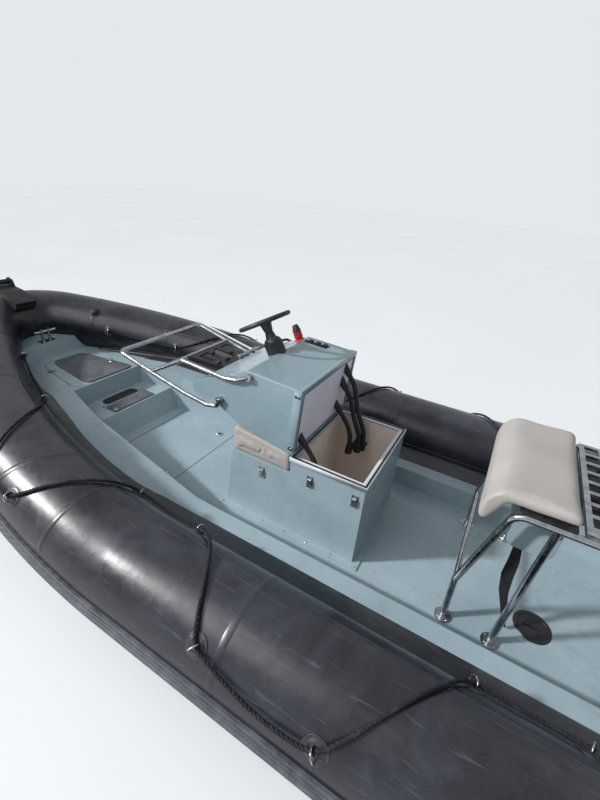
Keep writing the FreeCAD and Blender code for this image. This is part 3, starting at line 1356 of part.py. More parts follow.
def starboard_valves():
    """Inflation valves, one to an air chamber."""
    valves = []
    for distance, angle in VALVES:
        skin, normal = on_tube(distance, angle, 0.3)
        body = valve_body(skin, normal)
        valves.append(mirrored(body))
    return Part.makeCompound(valves)


def valve_body(foot, axis):
    """A valve: a round flange with a raised cap."""
    flange = Part.makeCylinder(27, 5, foot, axis)
    cap = Part.makeCone(19, 16, 14, foot + axis * 4, axis)
    return fused([flange, cap])


HOSES = [
    # name, route of (x, y, z) control points
    ("steering_hose", [(-199.0, 280, 757), (-230, 280, 723), (-258, 279, 684), (-278, 277, 641),
                       (-288, 274, 593), (-288, 274, 545)]),
    ("throttle_hose", [(-217.5, -220, 999), (-245, -221, 965), (-264, -223, 921),
                       (-276, -226, 868), (-290, -230, 811), (-308, -234, 752),
                       (-330, -240, 697), (-352, -244, 644), (-364, -246, 594),
                       (-364, -246, 545)]),
    ("wiring_hose", [(-212.0, -200, 912), (-240, -201, 875), (-260, -202, 830),
                     (-275, -203, 781), (-291, -204, 732), (-311, -205, 685),
                     (-333, -206, 641), (-347, -206, 594), (-347, -206, 545)]),
    ("lower_hose", [(-201.0, -176, 760), (-232, -177, 724), (-262, -175, 686),
                    (-288, -168, 644), (-304, -160, 595), (-304, -160, 545)]),
]
HOSE_RADIUS = 16.0
HOSE_FIT = 0.2
BOOT_LENGTH = 90.0
BOOT_BASE_RADIUS = 25.0
BOOT_MOUTH_RADIUS = 18.5
GLAND_HEIGHT = 55.0
GLAND_BRACKET = 14.0


def route_points(route):
    return [Vector(*point) for point in route]


def hose(route):
    return cord_tube(route_points(route), HOSE_RADIUS)


def hose_boots():
    """Rubber boots on the console's bottom panel, slanting down to each hose."""
    skin = HINGE_Z - CONSOLE_LIP + CONSOLE_WALL
    behind = tipped(box(HINGE_X - CONSOLE_DEPTH - 50, HINGE_X + 50, -CONSOLE_HALF_WIDTH,
                        CONSOLE_HALF_WIDTH, skin, skin + 2 * BOOT_LENGTH))
    boots = []
    for name, route in HOSES:
        mouth, beyond = route_points(route)[:2]
        back = (mouth - beyond).normalize()
        boots.append(Part.makeCone(BOOT_MOUTH_RADIUS, BOOT_BASE_RADIUS, BOOT_LENGTH,
                                   mouth + back * HOSE_FIT, back).cut(behind))
    return Part.makeCompound(boots)


def hose_glands():
    """Rubber boots where the hoses enter the locker, on brackets to its wall."""
    wall_x = LOCKER_OPENING_FRONT_X - LOCKER_WALL - LINING_THICKNESS - 0.6
    wall_y = -LOCKER_HALF_WIDTH + LOCKER_WALL + LINING_THICKNESS + 0.6
    glands = []
    for name, route in HOSES:
        end = route_points(route)[-1]
        foot = end - Z_AXIS * (GLAND_HEIGHT + HOSE_FIT)
        gland = Part.makeCone(BOOT_BASE_RADIUS, BOOT_MOUTH_RADIUS, GLAND_HEIGHT, foot, Z_AXIS)
        if end.y > 0:
            arm = box(end.x, wall_x, end.y - GLAND_BRACKET, end.y + GLAND_BRACKET,
                      foot.z, foot.z + GLAND_BRACKET)
        else:
            arm = box(end.x - GLAND_BRACKET, end.x + GLAND_BRACKET, wall_y, end.y,
                      foot.z, foot.z + GLAND_BRACKET)
        glands.append(fused([gland, arm]))
    return Part.makeCompound([glands[0], fused(glands[1:])])


def stern_eyes():
    """Towing eyes bolted through the transom."""
    eyes = []
    for side in (1, -1):
        centre = Vector(TRANSOM_X - 26, side * (TRANSOM_NOTCH_HALF_WIDTH + 230), 180)
        plate = rod(Vector(TRANSOM_X, centre.y, centre.z) - X_AXIS * 6,
                    Vector(TRANSOM_X, centre.y, centre.z), 30)
        loop = Part.makeTorus(22, 6, centre, Y_AXIS)
        inside = box(TRANSOM_X, TRANSOM_X + 40, centre.y - 90, centre.y + 90, 0, 400)
        eyes.append(fused([plate, loop]).cut(inside))
    return Part.makeCompound(eyes)


def bow_eye():
    """The towing eye through the stem."""
    centre = Vector(2560, 0, 60)
    way = Vector(math.cos(0.65), 0, -math.sin(0.65)).normalize()
    loop = Part.makeTorus(24, 7, centre + way * 34, Y_AXIS)
    shank = rod(centre - way * 60, centre + way * 12, 9)
    return fused([loop, shank]).cut(hull())


def motor_bracket():
    """Clamp bracket over the transom and the tilt tube it carries."""
    cheeks = []
    for side in (1, -1):
        y = side * 105
        outline = [(TRANSOM_X - 0.3, 150), (TRANSOM_X - 0.3, TRANSOM_NOTCH_HEIGHT + 18),
                   (MOTOR_TILT_X + 34, MOTOR_TILT_HEIGHT + 32),
                   (MOTOR_TILT_X - 30, MOTOR_TILT_HEIGHT + 26),
                   (MOTOR_TILT_X - 34, MOTOR_TILT_HEIGHT - 30), (TRANSOM_X - 70, 120)]
        face = polygon([Vector(x, y - 11, z) for x, z in outline])
        cheeks.append(face.extrude(Vector(0, 22, 0)))
    tilt_tube = rod(Vector(MOTOR_TILT_X, -140, MOTOR_TILT_HEIGHT),
                    Vector(MOTOR_TILT_X, 140, MOTOR_TILT_HEIGHT), 17)
    saddle = box(TRANSOM_X - 30, TRANSOM_X - 0.3, -116, 116, 170, TRANSOM_NOTCH_HEIGHT + 10)
    return fused(cheeks + [tilt_tube, saddle])


def motor_swivel():
    """The swivel that tilts on the tube and carries the steering pivot."""
    sleeve = rod(Vector(MOTOR_TILT_X, -92, MOTOR_TILT_HEIGHT),
                 Vector(MOTOR_TILT_X, 92, MOTOR_TILT_HEIGHT), 34)
    column = rod(Vector(MOTOR_STEER_X, 0, -60), Vector(MOTOR_STEER_X, 0, MOTOR_TILT_HEIGHT + 34), 40)
    web = side_prism([(MOTOR_TILT_X + 8, MOTOR_TILT_HEIGHT + 28), (MOTOR_STEER_X, MOTOR_TILT_HEIGHT
                                                                   + 30),
                      (MOTOR_STEER_X, -40), (MOTOR_STEER_X + 50, -20),
                      (MOTOR_TILT_X + 8, MOTOR_TILT_HEIGHT - 60)], 44)
    bore = rod(Vector(MOTOR_TILT_X, -200, MOTOR_TILT_HEIGHT),
               Vector(MOTOR_TILT_X, 200, MOTOR_TILT_HEIGHT), 17.5)
    pivot = rod(Vector(MOTOR_STEER_X, 0, -80), Vector(MOTOR_STEER_X, 0, MOTOR_TILT_HEIGHT + 60),
                20.5)
    return fused([sleeve, column, web]).cut([bore, pivot])


def rounded_section(z, x0, x1, half_width, corner):
    """A horizontal rounded rectangle as one closed wire."""
    def at(x, y):
        return Vector(x, y, z)
    k = corner * (1 - math.sqrt(0.5))
    h = half_width
    edges = [
        Part.makeLine(at(x0 + corner, -h), at(x1 - corner, -h)),
        Part.Arc(at(x1 - corner, -h), at(x1 - k, -h + k), at(x1, -h + corner)).toShape(),
        Part.makeLine(at(x1, -h + corner), at(x1, h - corner)),
        Part.Arc(at(x1, h - corner), at(x1 - k, h - k), at(x1 - corner, h)).toShape(),
        Part.makeLine(at(x1 - corner, h), at(x0 + corner, h)),
        Part.Arc(at(x0 + corner, h), at(x0 + k, h - k), at(x0, h - corner)).toShape(),
        Part.makeLine(at(x0, h - corner), at(x0, -h + corner)),
        Part.Arc(at(x0, -h + corner), at(x0 + k, -h + k), at(x0 + corner, -h)).toShape(),
    ]
    return Part.Wire(edges)


def lofted(rows):
    return Part.makeLoft([rounded_section(*row) for row in rows], True, True)


def motor_leg():
    """Midsection, cavitation plate, gearcase, skeg and the steering pivot."""
    steer = MOTOR_STEER_X
    middle = lofted([
        # z, aft x, front x, half width, corner
        (-230, steer - 205, steer - 62, 58, 40),
        (60, steer - 230, steer - 55, 80, 50),
        (MOTOR_TILT_HEIGHT + 62, steer - 260, steer - 52, 120, 60),
    ])
    yokes = []
    for z in (MOTOR_TILT_HEIGHT + 36, -78):
        yokes.append(box(steer - 80, steer + 34, -38, 38, z, z + 16))
    pivot = rod(Vector(steer, 0, -78), Vector(steer, 0, MOTOR_TILT_HEIGHT + 52), 20)
    strut = lofted([
        (-PROP_DEPTH + 30, steer - 215, steer - 55, 20, 18),
        (-MOTOR_CAVITATION_DEPTH, steer - 225, steer - 60, 34, 30),
        (-230, steer - 205, steer - 62, 58, 40),
    ])
    plate = rounded_plan(both_sides([(steer - 360, 95), (steer - 120, 110), (steer - 30, 40)]), 16,
                         -MOTOR_CAVITATION_DEPTH, -MOTOR_CAVITATION_DEPTH + 9)
    case = turned_about(Vector(steer - 262, 0, -PROP_DEPTH), X_AXIS,
                        [(0, 0), (0, 48), (60, 56), (150, 52), (220, 34), (258, 12), (264, 0)])
    skeg = side_prism([(steer - 100, -PROP_DEPTH - 30), (steer - 230, -PROP_DEPTH - 30),
                       (steer - 255, -PROP_DEPTH - 205), (steer - 190, -PROP_DEPTH - 210)], 7)
    shaft = rod(Vector(steer - 200, 0, -PROP_DEPTH),
                Vector(steer - 264 - PROP_HUB_LENGTH + 20, 0, -PROP_DEPTH), PROP_SHAFT_RADIUS)
    return fused([middle, pivot, strut, plate, case, skeg, shaft] + yokes)


def motor_cowl():
    """The engine cover, with its lower pan."""
    steer = MOTOR_STEER_X
    low = MOTOR_TILT_HEIGHT + 62.3
    return lofted([
        (low, steer - 330, steer + 40, 150, 70),
        (low + 90, steer - 430, steer + 110, 190, 90),
        (low + 300, steer - 440, steer + 125, 195, 95),
        (low + 450, steer - 400, steer + 90, 175, 90),
        (low + 520, steer - 330, steer + 20, 130, 70),
    ])


def propeller():
    """A three-blade propeller with pitched blades on a through hub."""
    front = Vector(MOTOR_STEER_X - 264, 0, -PROP_DEPTH)
    hub = turned_about(front, -X_AXIS, [(0, 0), (0, 46), (30, PROP_HUB_RADIUS),
                                        (PROP_HUB_LENGTH, PROP_HUB_RADIUS - 6),
                                        (PROP_HUB_LENGTH, 0)])
    blades = []
    for number in range(BLADE_COUNT):
        sections = []
        # radius, chord, pitch angle, rake
        for radius, chord, pitch, rake in ((PROP_HUB_RADIUS - 12, 92, 62, 0),
                                           (PROP_RADIUS * 0.62, 128, 42, 10),
                                           (PROP_RADIUS * 0.97, 62, 30, 24)):
            turn = math.radians(pitch)
            along = Vector(-math.sin(turn), math.cos(turn), 0)
            thick = Vector(math.cos(turn), math.sin(turn), 0) * 4
            centre = front + Vector(-PROP_HUB_LENGTH / 2 - rake, 0, radius)
            corners = [centre - along * chord / 2 - thick / 2, centre - thick,
                       centre + along * chord / 2 - thick / 2,
                       centre + along * chord / 2 + thick / 2, centre + thick,
                       centre - along * chord / 2 + thick / 2]
            sections.append(Part.makePolygon(corners + [corners[0]]))
        blade = Part.makeLoft(sections, True, True)
        blades.append(blade.rotated(front, X_AXIS, 360 * number / BLADE_COUNT))
    bore = rod(front + X_AXIS, front - X_AXIS * (PROP_HUB_LENGTH - 19),
               PROP_SHAFT_RADIUS + HINGE_PIN_CLEARANCE)
    return fused([hub] + blades).cut(bore)


def on_anchor_edge(shape, along):
    """Places a hinge drawn at the origin on the anchor lid's port edge."""
    taper = ANCHOR_LID_AFT_HALF_WIDTH - ANCHOR_LID_FRONT_HALF_WIDTH
    lean = math.atan2(taper, ANCHOR_LID_LENGTH)
    foot = Vector(ANCHOR_LID_AFT_X + along * math.cos(lean),
                  ANCHOR_LID_AFT_HALF_WIDTH - along * math.sin(lean), BOW_DECK_TOP)
    return shape.rotated(Vector(0, 0, 0), Z_AXIS, -math.degrees(lean)).translated(foot)


def lid_hinge_barrel(start, end, radius):
    """A cylinder on the lid hinge's axis, which lies along X."""
    return rod(Vector(start, LID_HINGE_OUT, LID_HINGE_UP), Vector(end, LID_HINGE_OUT, LID_HINGE_UP),
               radius)


def anchor_hinge_leaves():
    """The lid's half of each hinge: a leaf and the middle knuckle."""
    half = LID_HINGE_LENGTH / 2
    leaf = box(-half, half, -LID_HINGE_LEAF, LID_HINGE_OUT - 1.5, 0.3, 2.8)
    outer = [lid_hinge_barrel(side * 8.5, side * (half + 1), LID_HINGE_RADIUS + 1)
             for side in (1, -1)]
    knuckle = lid_hinge_barrel(-8, 8, LID_HINGE_RADIUS)
    bore = lid_hinge_barrel(-half, half, LID_HINGE_PIN_RADIUS + HINGE_PIN_CLEARANCE)
    hinge = fused([leaf.cut(outer), knuckle]).cut(bore)
    return Part.makeCompound([on_anchor_edge(hinge, along) for along in LID_HINGE_PLACES])


def anchor_hinge_base():
    """The deck's half: a leaf, two outer knuckles and the pin."""
    half = LID_HINGE_LENGTH / 2
    leaf = box(-half, half, LID_HINGE_OUT + 1.5, LID_HINGE_OUT + LID_HINGE_LEAF, 0.3, 2.8)
    middle = lid_hinge_barrel(-9, 9, LID_HINGE_RADIUS + 1)
    knuckles = [lid_hinge_barrel(side * 9, side * half, LID_HINGE_RADIUS) for side in (1, -1)]
    pin = lid_hinge_barrel(-half - 2, half + 2, LID_HINGE_PIN_RADIUS)
    hinge = fused([leaf.cut(middle), pin] + knuckles)
    return Part.makeCompound([on_anchor_edge(hinge, along) for along in LID_HINGE_PLACES])


def nodes():
    """Every sub-part by name."""
    tube = port_tube()
    strake = port_strake()
    strip = collar_strip()
    line = port_lifeline()
    rings = port_rings()
    parts = {
        "hull": hull(),
        "deck_liner": deck_liner(),
        "transom": transom(),
        "port_tube": tube,
        "starboard_tube": mirrored(tube),
        "port_strake": strake,
        "starboard_strake": mirrored(strake),
        "port_collar_strip": strip,
        "starboard_collar_strip": mirrored(strip),
        "port_lifeline": line,
        "starboard_lifeline": mirrored(line),
        "port_rings": rings,
        "starboard_rings": mirrored(rings),
        "valves": starboard_valves(),
        "bow_fairlead": bow_fairlead(),
        "bow_roller": bow_roller(),
        "bow_cleat": bow_cleat(),
        "bow_eye": bow_eye(),
        "stern_eyes": stern_eyes(),
        "anchor_lid": lid("anchor"),
        "step_lid": lid("step"),
        "deck_hatch": lid("hatch"),
        "anchor_hinge_leaves": anchor_hinge_leaves(),
        "anchor_hinge_base": anchor_hinge_base(),
        "hose_boots": hose_boots(),
        "hose_glands": hose_glands(),
        "locker": locker(),
        "locker_gasket": locker_gasket(),
        "locker_lining": locker_lining(),
        "locker_latches": locker_latches(),
        "front_cushion": front_cushion(),
        "console_shell": console_shell(),
        "console_base_panel": console_base_panel(),
        "console_hinge": console_hinge(),
        "locker_hinge": locker_hinge(),
        "helm_hub": helm_hub(),
        "steering_wheel": steering_wheel(),
        "dash_switches": dash_switches(),
        "kill_switch": kill_switch(),
        "engine_control": engine_control(),
        "handrail": handrail(),
        "instrument_frame": instrument_frame(),
        "antenna": antenna(),
        "seat_frame": seat_frame(),
        "seat_base": seat_base(),
        "seat_cushion": seat_cushion(),
        "seat_rack": seat_rack(),
        "seat_box": seat_box(),
        "seat_strap": seat_strap(),
        "deck_plate": deck_plate(),
        "motor_bracket": motor_bracket(),
        "motor_swivel": motor_swivel(),
        "motor_leg": motor_leg(),
        "motor_cowl": motor_cowl(),
        "propeller": propeller(),
    }
    for name, route in HOSES:
        parts[name] = hose(route)
    return parts


def print_cord_bends():
    """The length and tightest bend of each cord, in millimetres."""
    cords = [("lifelines", lifeline_points())]
    cords += [(name, route_points(route)) for name, route in HOSES]
    for name, points in cords:
        bends = []
        for before, corner, after in zip(points, points[1:], points[2:]):
            turn = (corner - before).getAngle(after - corner)
            shorter = min((corner - before).Length, (after - corner).Length)
            bends.append(cord_bend(shorter, turn / 2))
        length = route_wire(points, cord_bend).Length
        print(name, "length", round(length), "tightest bend", round(min(bends)),
              "first bends", [round(bend) for bend in bends[:9]])


def main():
    os.makedirs("parts", exist_ok=True)
    print_cord_bends()
    for name, shape in nodes().items():
        solids = shape.Solids
        print(name, len(solids), "solid(s)", shape.isValid(), round(shape.Volume / 1e6, 2), "litres",
              [round(value) for value in (shape.BoundBox.XMin, shape.BoundBox.XMax,
                                          shape.BoundBox.YMin, shape.BoundBox.YMax,
                                          shape.BoundBox.ZMin, shape.BoundBox.ZMax)])
        shape.exportStep("parts/" + name + ".step")


main()
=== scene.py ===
import json
import math

import bmesh
import bpy
from mathutils import Matrix, Vector


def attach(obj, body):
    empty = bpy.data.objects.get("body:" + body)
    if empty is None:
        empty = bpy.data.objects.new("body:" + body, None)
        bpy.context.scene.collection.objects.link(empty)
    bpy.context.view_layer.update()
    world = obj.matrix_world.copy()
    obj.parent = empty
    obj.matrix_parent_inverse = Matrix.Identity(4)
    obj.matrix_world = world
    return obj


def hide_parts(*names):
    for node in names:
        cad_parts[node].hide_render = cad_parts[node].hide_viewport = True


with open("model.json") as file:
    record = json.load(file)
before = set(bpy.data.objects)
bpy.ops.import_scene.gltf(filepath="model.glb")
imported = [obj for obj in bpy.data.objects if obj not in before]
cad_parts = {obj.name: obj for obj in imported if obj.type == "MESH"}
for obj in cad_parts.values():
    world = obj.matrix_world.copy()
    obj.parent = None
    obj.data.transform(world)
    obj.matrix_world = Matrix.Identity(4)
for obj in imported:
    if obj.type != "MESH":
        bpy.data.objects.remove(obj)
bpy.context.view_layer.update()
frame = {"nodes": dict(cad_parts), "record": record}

nodes = frame["nodes"]
Y = Vector((0, 1, 0))
Z = Vector((0, 0, 1))
SIDES = (("port", 1), ("starboard", -1))


def srgb(red, green, blue):
    """A colour from its everyday 0 to 255 values."""
    return tuple((value / 255) ** 2.2 for value in (red, green, blue)) + (1.0,)


def new_object(name, data):
    piece = bpy.data.objects.new(name, data)
    bpy.context.scene.collection.objects.link(piece)
    return piece


# Camera at the photographer's place on the dock

CAMERA_PLACE = Vector((-0.994, 1.903, 2.030))
CAMERA_RIGHT = Vector((-0.86387, -0.49825, 0.07410))
CAMERA_FORWARD = Vector((0.40668, -0.77663, -0.48110))
CAMERA_LENS = 17.835


def make_camera():
    forward = CAMERA_FORWARD.normalized()
    right = (CAMERA_RIGHT - forward * CAMERA_RIGHT.dot(forward)).normalized()
    up = right.cross(forward)
    camera = new_object("camera", bpy.data.cameras.new("camera"))
    camera.data.lens = CAMERA_LENS
    camera.data.clip_start = 0.02
    turn = Matrix((right, up, -forward)).transposed()
    camera.matrix_world = Matrix.Translation(CAMERA_PLACE) @ turn.to_4x4()
    bpy.context.scene.camera = camera


make_camera()


# The port tube's path, as in the solids, in metres

TUBE_RADIUS = 0.270
HALF_SPREAD = 1.070
CENTRE_HEIGHT = 0.276
TRANSOM_X = -2.500
NOSE_X = 3.170
SHEER = math.radians(7.5)
SHEER_RADIUS = 1.500
SHOULDER = math.radians(30)
NOSE_RADIUS = 0.450
SHOULDER_RADIUS = (HALF_SPREAD - NOSE_RADIUS * math.cos(SHOULDER)) / (1 - math.cos(SHOULDER))
BOW_REACH = SHOULDER_RADIUS * math.sin(SHOULDER) + NOSE_RADIUS * (1 - math.sin(SHOULDER))
STRAIGHT_END = NOSE_X - SHEER_RADIUS * math.sin(SHEER) - BOW_REACH * math.cos(SHEER)
FORWARD = Vector((math.cos(SHEER), 0, math.sin(SHEER)))
UPWARD = Vector((-math.sin(SHEER), 0, math.cos(SHEER)))
SHEER_START = Vector((STRAIGHT_END, HALF_SPREAD, CENTRE_HEIGHT))


def up_sheer(turn):
    """The centre after a turn up the sheer."""
    return SHEER_START + Vector((SHEER_RADIUS * math.sin(turn), 0,
                                 SHEER_RADIUS * (1 - math.cos(turn))))


def outward_at(turn):
    """The outward direction after a turn round the bow."""
    return FORWARD * math.sin(turn) + Y * math.cos(turn)


SHOULDER_CENTRE = up_sheer(SHEER) - Y * SHOULDER_RADIUS
NOSE_CENTRE = SHOULDER_CENTRE + outward_at(SHOULDER) * (SHOULDER_RADIUS - NOSE_RADIUS)


def tube_frame(distance):
    """Centre, outward, upward and forward directions at a distance ahead of the transom."""
    straight = STRAIGHT_END - TRANSOM_X
    if distance <= straight:
        return Vector((TRANSOM_X + distance, HALF_SPREAD, CENTRE_HEIGHT)), Y, Z
    distance -= straight
    if distance <= SHEER_RADIUS * SHEER:
        turn = distance / SHEER_RADIUS
        return up_sheer(turn), Y, Vector((-math.sin(turn), 0, math.cos(turn)))
    distance -= SHEER_RADIUS * SHEER
    if distance <= SHOULDER_RADIUS * SHOULDER:
        outward = outward_at(distance / SHOULDER_RADIUS)
        return SHOULDER_CENTRE + outward * SHOULDER_RADIUS, outward, UPWARD
    outward = outward_at(SHOULDER + (distance - SHOULDER_RADIUS * SHOULDER) / NOSE_RADIUS)
    return NOSE_CENTRE + outward * NOSE_RADIUS, outward, UPWARD


def on_side(vector, side):
    """A vector to port, or its mirror image to starboard."""
    return Vector((vector.x, side * vector.y, vector.z))


def on_tube(distance, angle, lift, side=1):
    """A point off the tube's skin and the skin's normal there; angle goes up and over."""
    centre, outward, upward = tube_frame(distance)
    turn = math.radians(angle)
    normal = outward * math.cos(turn) + upward * math.sin(turn)
    point = centre + normal * (TUBE_RADIUS + lift)
    return on_side(point, side), on_side(normal, side)


# Materials

class Finish:
    """A material built from noise, ramps and bumps in the object's own coordinates."""

    def __init__(self, name, roughness=0.5, metallic=0.0, coat=0.0, specular=0.5):
        self.material = bpy.data.materials.new(name)
        self.material.use_nodes = True
        self.tree = self.material.node_tree
        self.shader = self.tree.nodes["Principled BSDF"]
        for socket, value in (("Roughness", roughness), ("Metallic", metallic),
                              ("Coat Weight", coat), ("Specular IOR Level", specular)):
            self.shader.inputs[socket].default_value = value
        self.place = self.add("ShaderNodeTexCoord").outputs["Object"]

    def add(self, kind, **inputs):
        node = self.tree.nodes.new(kind)
        for name, value in inputs.items():
            self.feed(node.inputs[name.replace("_", " ")], value)
        return node

    def feed(self, socket, value):
        if isinstance(value, bpy.types.NodeSocket):
            self.tree.links.new(value, socket)
        else:
            socket.default_value = value

    def noise(self, scale, detail=4.0, rough=0.55, stretch=None, distortion=0.0):
        """Cloudy noise, or streaks where its coordinates are scaled by axis."""
        where = self.place
        if stretch:
            where = self.add("ShaderNodeMapping", Vector=where, Scale=stretch).outputs["Vector"]
        return self.add("ShaderNodeTexNoise", Vector=where, Scale=scale, Detail=detail,
                        Roughness=rough, Distortion=distortion).outputs["Fac"]

    def wave(self, scale, axis):
        node = self.add("ShaderNodeTexWave", Vector=self.place, Scale=scale)
        node.bands_direction = axis
        return node.outputs["Fac"]

    def cells(self, scale):
        return self.add("ShaderNodeTexVoronoi", Vector=self.place, Scale=scale).outputs["Distance"]

    def ramp(self, value, low, high, dark=0.0, bright=1.0):
        """Maps low..high of a value to dark..bright, held at both ends."""
        return self.add("ShaderNodeMapRange", Value=value, From_Min=low, From_Max=high,
                        To_Min=dark, To_Max=bright).outputs["Result"]

    def times(self, first, second):
        node = self.add("ShaderNodeMath")
        node.operation = "MULTIPLY"
        self.feed(node.inputs[0], first)
        self.feed(node.inputs[1], second)
        return node.outputs[0]

    def mix(self, share, first, second):
        """Blends two colours, each a socket or everyday (red, green, blue) values."""
        node = self.add("ShaderNodeMix")
        node.data_type = "RGBA"
        self.feed(node.inputs["Factor"], share)
        for socket, colour in ((node.inputs[6], first), (node.inputs[7], second)):
            self.feed(socket, srgb(*colour) if isinstance(colour, tuple) else colour)
        return node.outputs[2]

    def over(self, base, value, low, high, share, colour):
        """Lays a colour over the base, more as a value runs from low to high."""
        return self.mix(self.ramp(value, low, high, 0.0, share), base, colour)

    def upward(self):
        """How far the surface faces up, 0 to 1."""
        normal = self.add("ShaderNodeNewGeometry").outputs["Normal"]
        return self.add("ShaderNodeSeparateXYZ", Vector=normal).outputs["Z"]

    def colour(self, value):
        self.feed(self.shader.inputs["Base Color"], value)

    def rough(self, value):
        self.feed(self.shader.inputs["Roughness"], value)

    def bump(self, *layers, edge=0.0):
        """Layers of (value, depth in millimetres), the broadest first, over rounded edges."""
        below = None
        if edge:
            below = self.add("ShaderNodeBevel", Radius=edge).outputs["Normal"]
        for value, depth in layers:
            node = self.add("ShaderNodeBump", Height=value, Distance=depth / 1000)
            if below:
                self.feed(node.inputs["Normal"], below)
            below = node.outputs["Normal"]
        self.feed(self.shader.inputs["Normal"], below)


def tube_finish():
    """Charcoal coated fabric: glossy, dusty with a painted sheen on top, painted darker underneath,
    scuffed and faintly wrinkled.
    """
    skin = Finish("tube_skin", roughness=0.36, coat=0.16, specular=0.4)
    skin.shader.inputs["Coat Roughness"].default_value = 0.24
    cloud = skin.noise(1.9, 7, 0.62, distortion=0.7)
    blotch = skin.noise(8.0, 7, 0.68, distortion=1.3)
    base = skin.mix(skin.ramp(cloud, 0.35, 0.68), (24, 26, 31), (38, 40, 47))
    base = skin.over(base, blotch, 0.50, 0.74, 0.4, (60, 62, 70))
    # Dust and painted sheen: faces turned up are lightened, patchily, towards pale grey, partly
    # real dust and partly a painted sky sheen.
    dust = skin.times(skin.ramp(skin.upward(), 0.35, 0.98),
                      skin.ramp(cloud, 0.40, 0.62, 0.06, 0.34))
    base = skin.mix(dust, base, (84, 86, 94))
    scratch = skin.noise(26.0, 2, 0.4, stretch=(0.22, 2.4, 2.4), distortion=0.8)
    crossing = skin.noise(30.0, 2, 0.4, stretch=(2.0, 0.35, 0.5), distortion=0.5)
    base = skin.over(base, scratch, 0.64, 0.78, 0.30, (104, 106, 112))
    base = skin.over(base, crossing, 0.70, 0.80, 0.20, (96, 98, 104))
    grime = skin.noise(90.0, 5, 0.7)
    base = skin.over(base, grime, 0.60, 0.75, 0.4, (28, 29, 34))
    speck = skin.noise(240.0, 3, 0.6)
    base = skin.over(base, speck, 0.70, 0.76, 0.5, (128, 130, 134))
    # Painted shade: faces turned down are darkened towards near black.
    base = skin.over(base, skin.upward(), 0.35, -0.45, 0.8, (20, 21, 25))
    skin.colour(base)
    skin.rough(skin.ramp(blotch, 0.30, 0.75, 0.24, 0.42))
    folds = skin.noise(2.4, 3, 0.5)
    wrinkles = skin.noise(14.0, 4, 0.55)
    weave = skin.noise(1100.0, 2, 0.5)
    skin.bump((folds, 8.0), (wrinkles, 1.0), (weave, 0.12))
    return skin.material


def gelcoat_finish(name, sunny, shaded, grime_share, gloss=0.32):
    """Moulded gelcoat: slight orange peel, faint clouding, fine specks and run marks."""
    coat = Finish(name, roughness=gloss, coat=0.25)
    cloud = coat.noise(2.2, 5, 0.6, distortion=0.5)
    base = coat.mix(coat.ramp(cloud, 0.30, 0.70), shaded, sunny)
    stain = coat.noise(7.0, 7, 0.7, distortion=1.5)
    base = coat.over(base, stain, 0.55, 0.75, grime_share, (104, 108, 104))
    speck = coat.cells(46.0)
    speck = coat.times(coat.ramp(speck, 0.10, 0.05), coat.ramp(stain, 0.48, 0.60))
    base = coat.mix(coat.times(speck, grime_share), base, (70, 72, 70))
    scuff = coat.noise(34.0, 2, 0.4, stretch=(0.3, 2.0, 1.5), distortion=0.7)
    base = coat.over(base, scuff, 0.70, 0.76, 0.35, (206, 214, 216))
    coat.colour(base)
    coat.rough(coat.ramp(stain, 0.35, 0.7, gloss - 0.06, gloss + 0.2))
    coat.bump((coat.noise(5.0, 3, 0.5), 1.2), (coat.noise(160.0, 3, 0.5), 0.08), edge=0.005)
    return coat.material


def non_skid_finish():
    """Grey non-skid paint with a sandy grain, worn paler in places."""
    pad = Finish("non_skid", roughness=0.75, specular=0.35)
    wear = pad.noise(6.0, 6, 0.65, distortion=0.8)
    grain = pad.noise(420.0, 3, 0.6)
    base = pad.mix(pad.ramp(wear, 0.35, 0.72), (76, 80, 86), (104, 108, 113))
    pad.colour(pad.over(base, grain, 0.5, 0.75, 0.5, (60, 62, 68)))
    pad.bump((grain, 0.8))
    return pad.material


def steel_finish():
    """Polished stainless tube with smears and small tea stains."""
    steel = Finish("stainless", roughness=0.16, metallic=1.0)
    smear = steel.noise(24.0, 5, 0.6, distortion=0.5)
    stain = steel.noise(70.0, 5, 0.7)
    base = steel.mix(steel.ramp(smear, 0.3, 0.7), (150, 152, 156), (196, 198, 201))
    steel.colour(steel.over(base, stain, 0.66, 0.78, 0.5, (150, 120, 92)))
    steel.rough(steel.ramp(smear, 0.3, 0.75, 0.10, 0.32))
    steel.bump((steel.noise(60.0, 3, 0.5), 0.05))
    return steel.material


def rubber_finish(name, dark, pale, gloss=0.55, grooves=False):
    """Black or grey rubber with dusty wear and, on the rubbing strake, fine grooves."""
    rubber = Finish(name, roughness=gloss, specular=0.4)
    dust = rubber.noise(11.0, 6, 0.65, distortion=0.7)
    nick = rubber.noise(120.0, 4, 0.6)
    base = rubber.mix(rubber.ramp(dust, 0.38, 0.72), dark, pale)
    rubber.colour(rubber.over(base, nick, 0.64, 0.74, 0.4, (150, 150, 150)))
    rubber.rough(rubber.ramp(dust, 0.3, 0.7, gloss - 0.1, gloss + 0.15))
    layers = [(nick, 0.3)]
    if grooves:
        layers.insert(0, (rubber.wave(42.0, "Z"), 2.2))
    rubber.bump(*layers)
    return rubber.material


def rope_finish():
    """Dull black laid rope with fibres across the strands and salt on the crowns."""
    rope = Finish("rope", roughness=0.82, specular=0.25)
    fibre = rope.noise(260.0, 3, 0.6)
    salt = rope.noise(22.0, 5, 0.6)
    base = rope.mix(rope.ramp(fibre, 0.35, 0.7), (20, 21, 24), (52, 54, 60))
    rope.colour(rope.over(base, salt, 0.5, 0.75, 0.4, (92, 94, 98)))
    rope.bump((fibre, 0.9))
    return rope.material


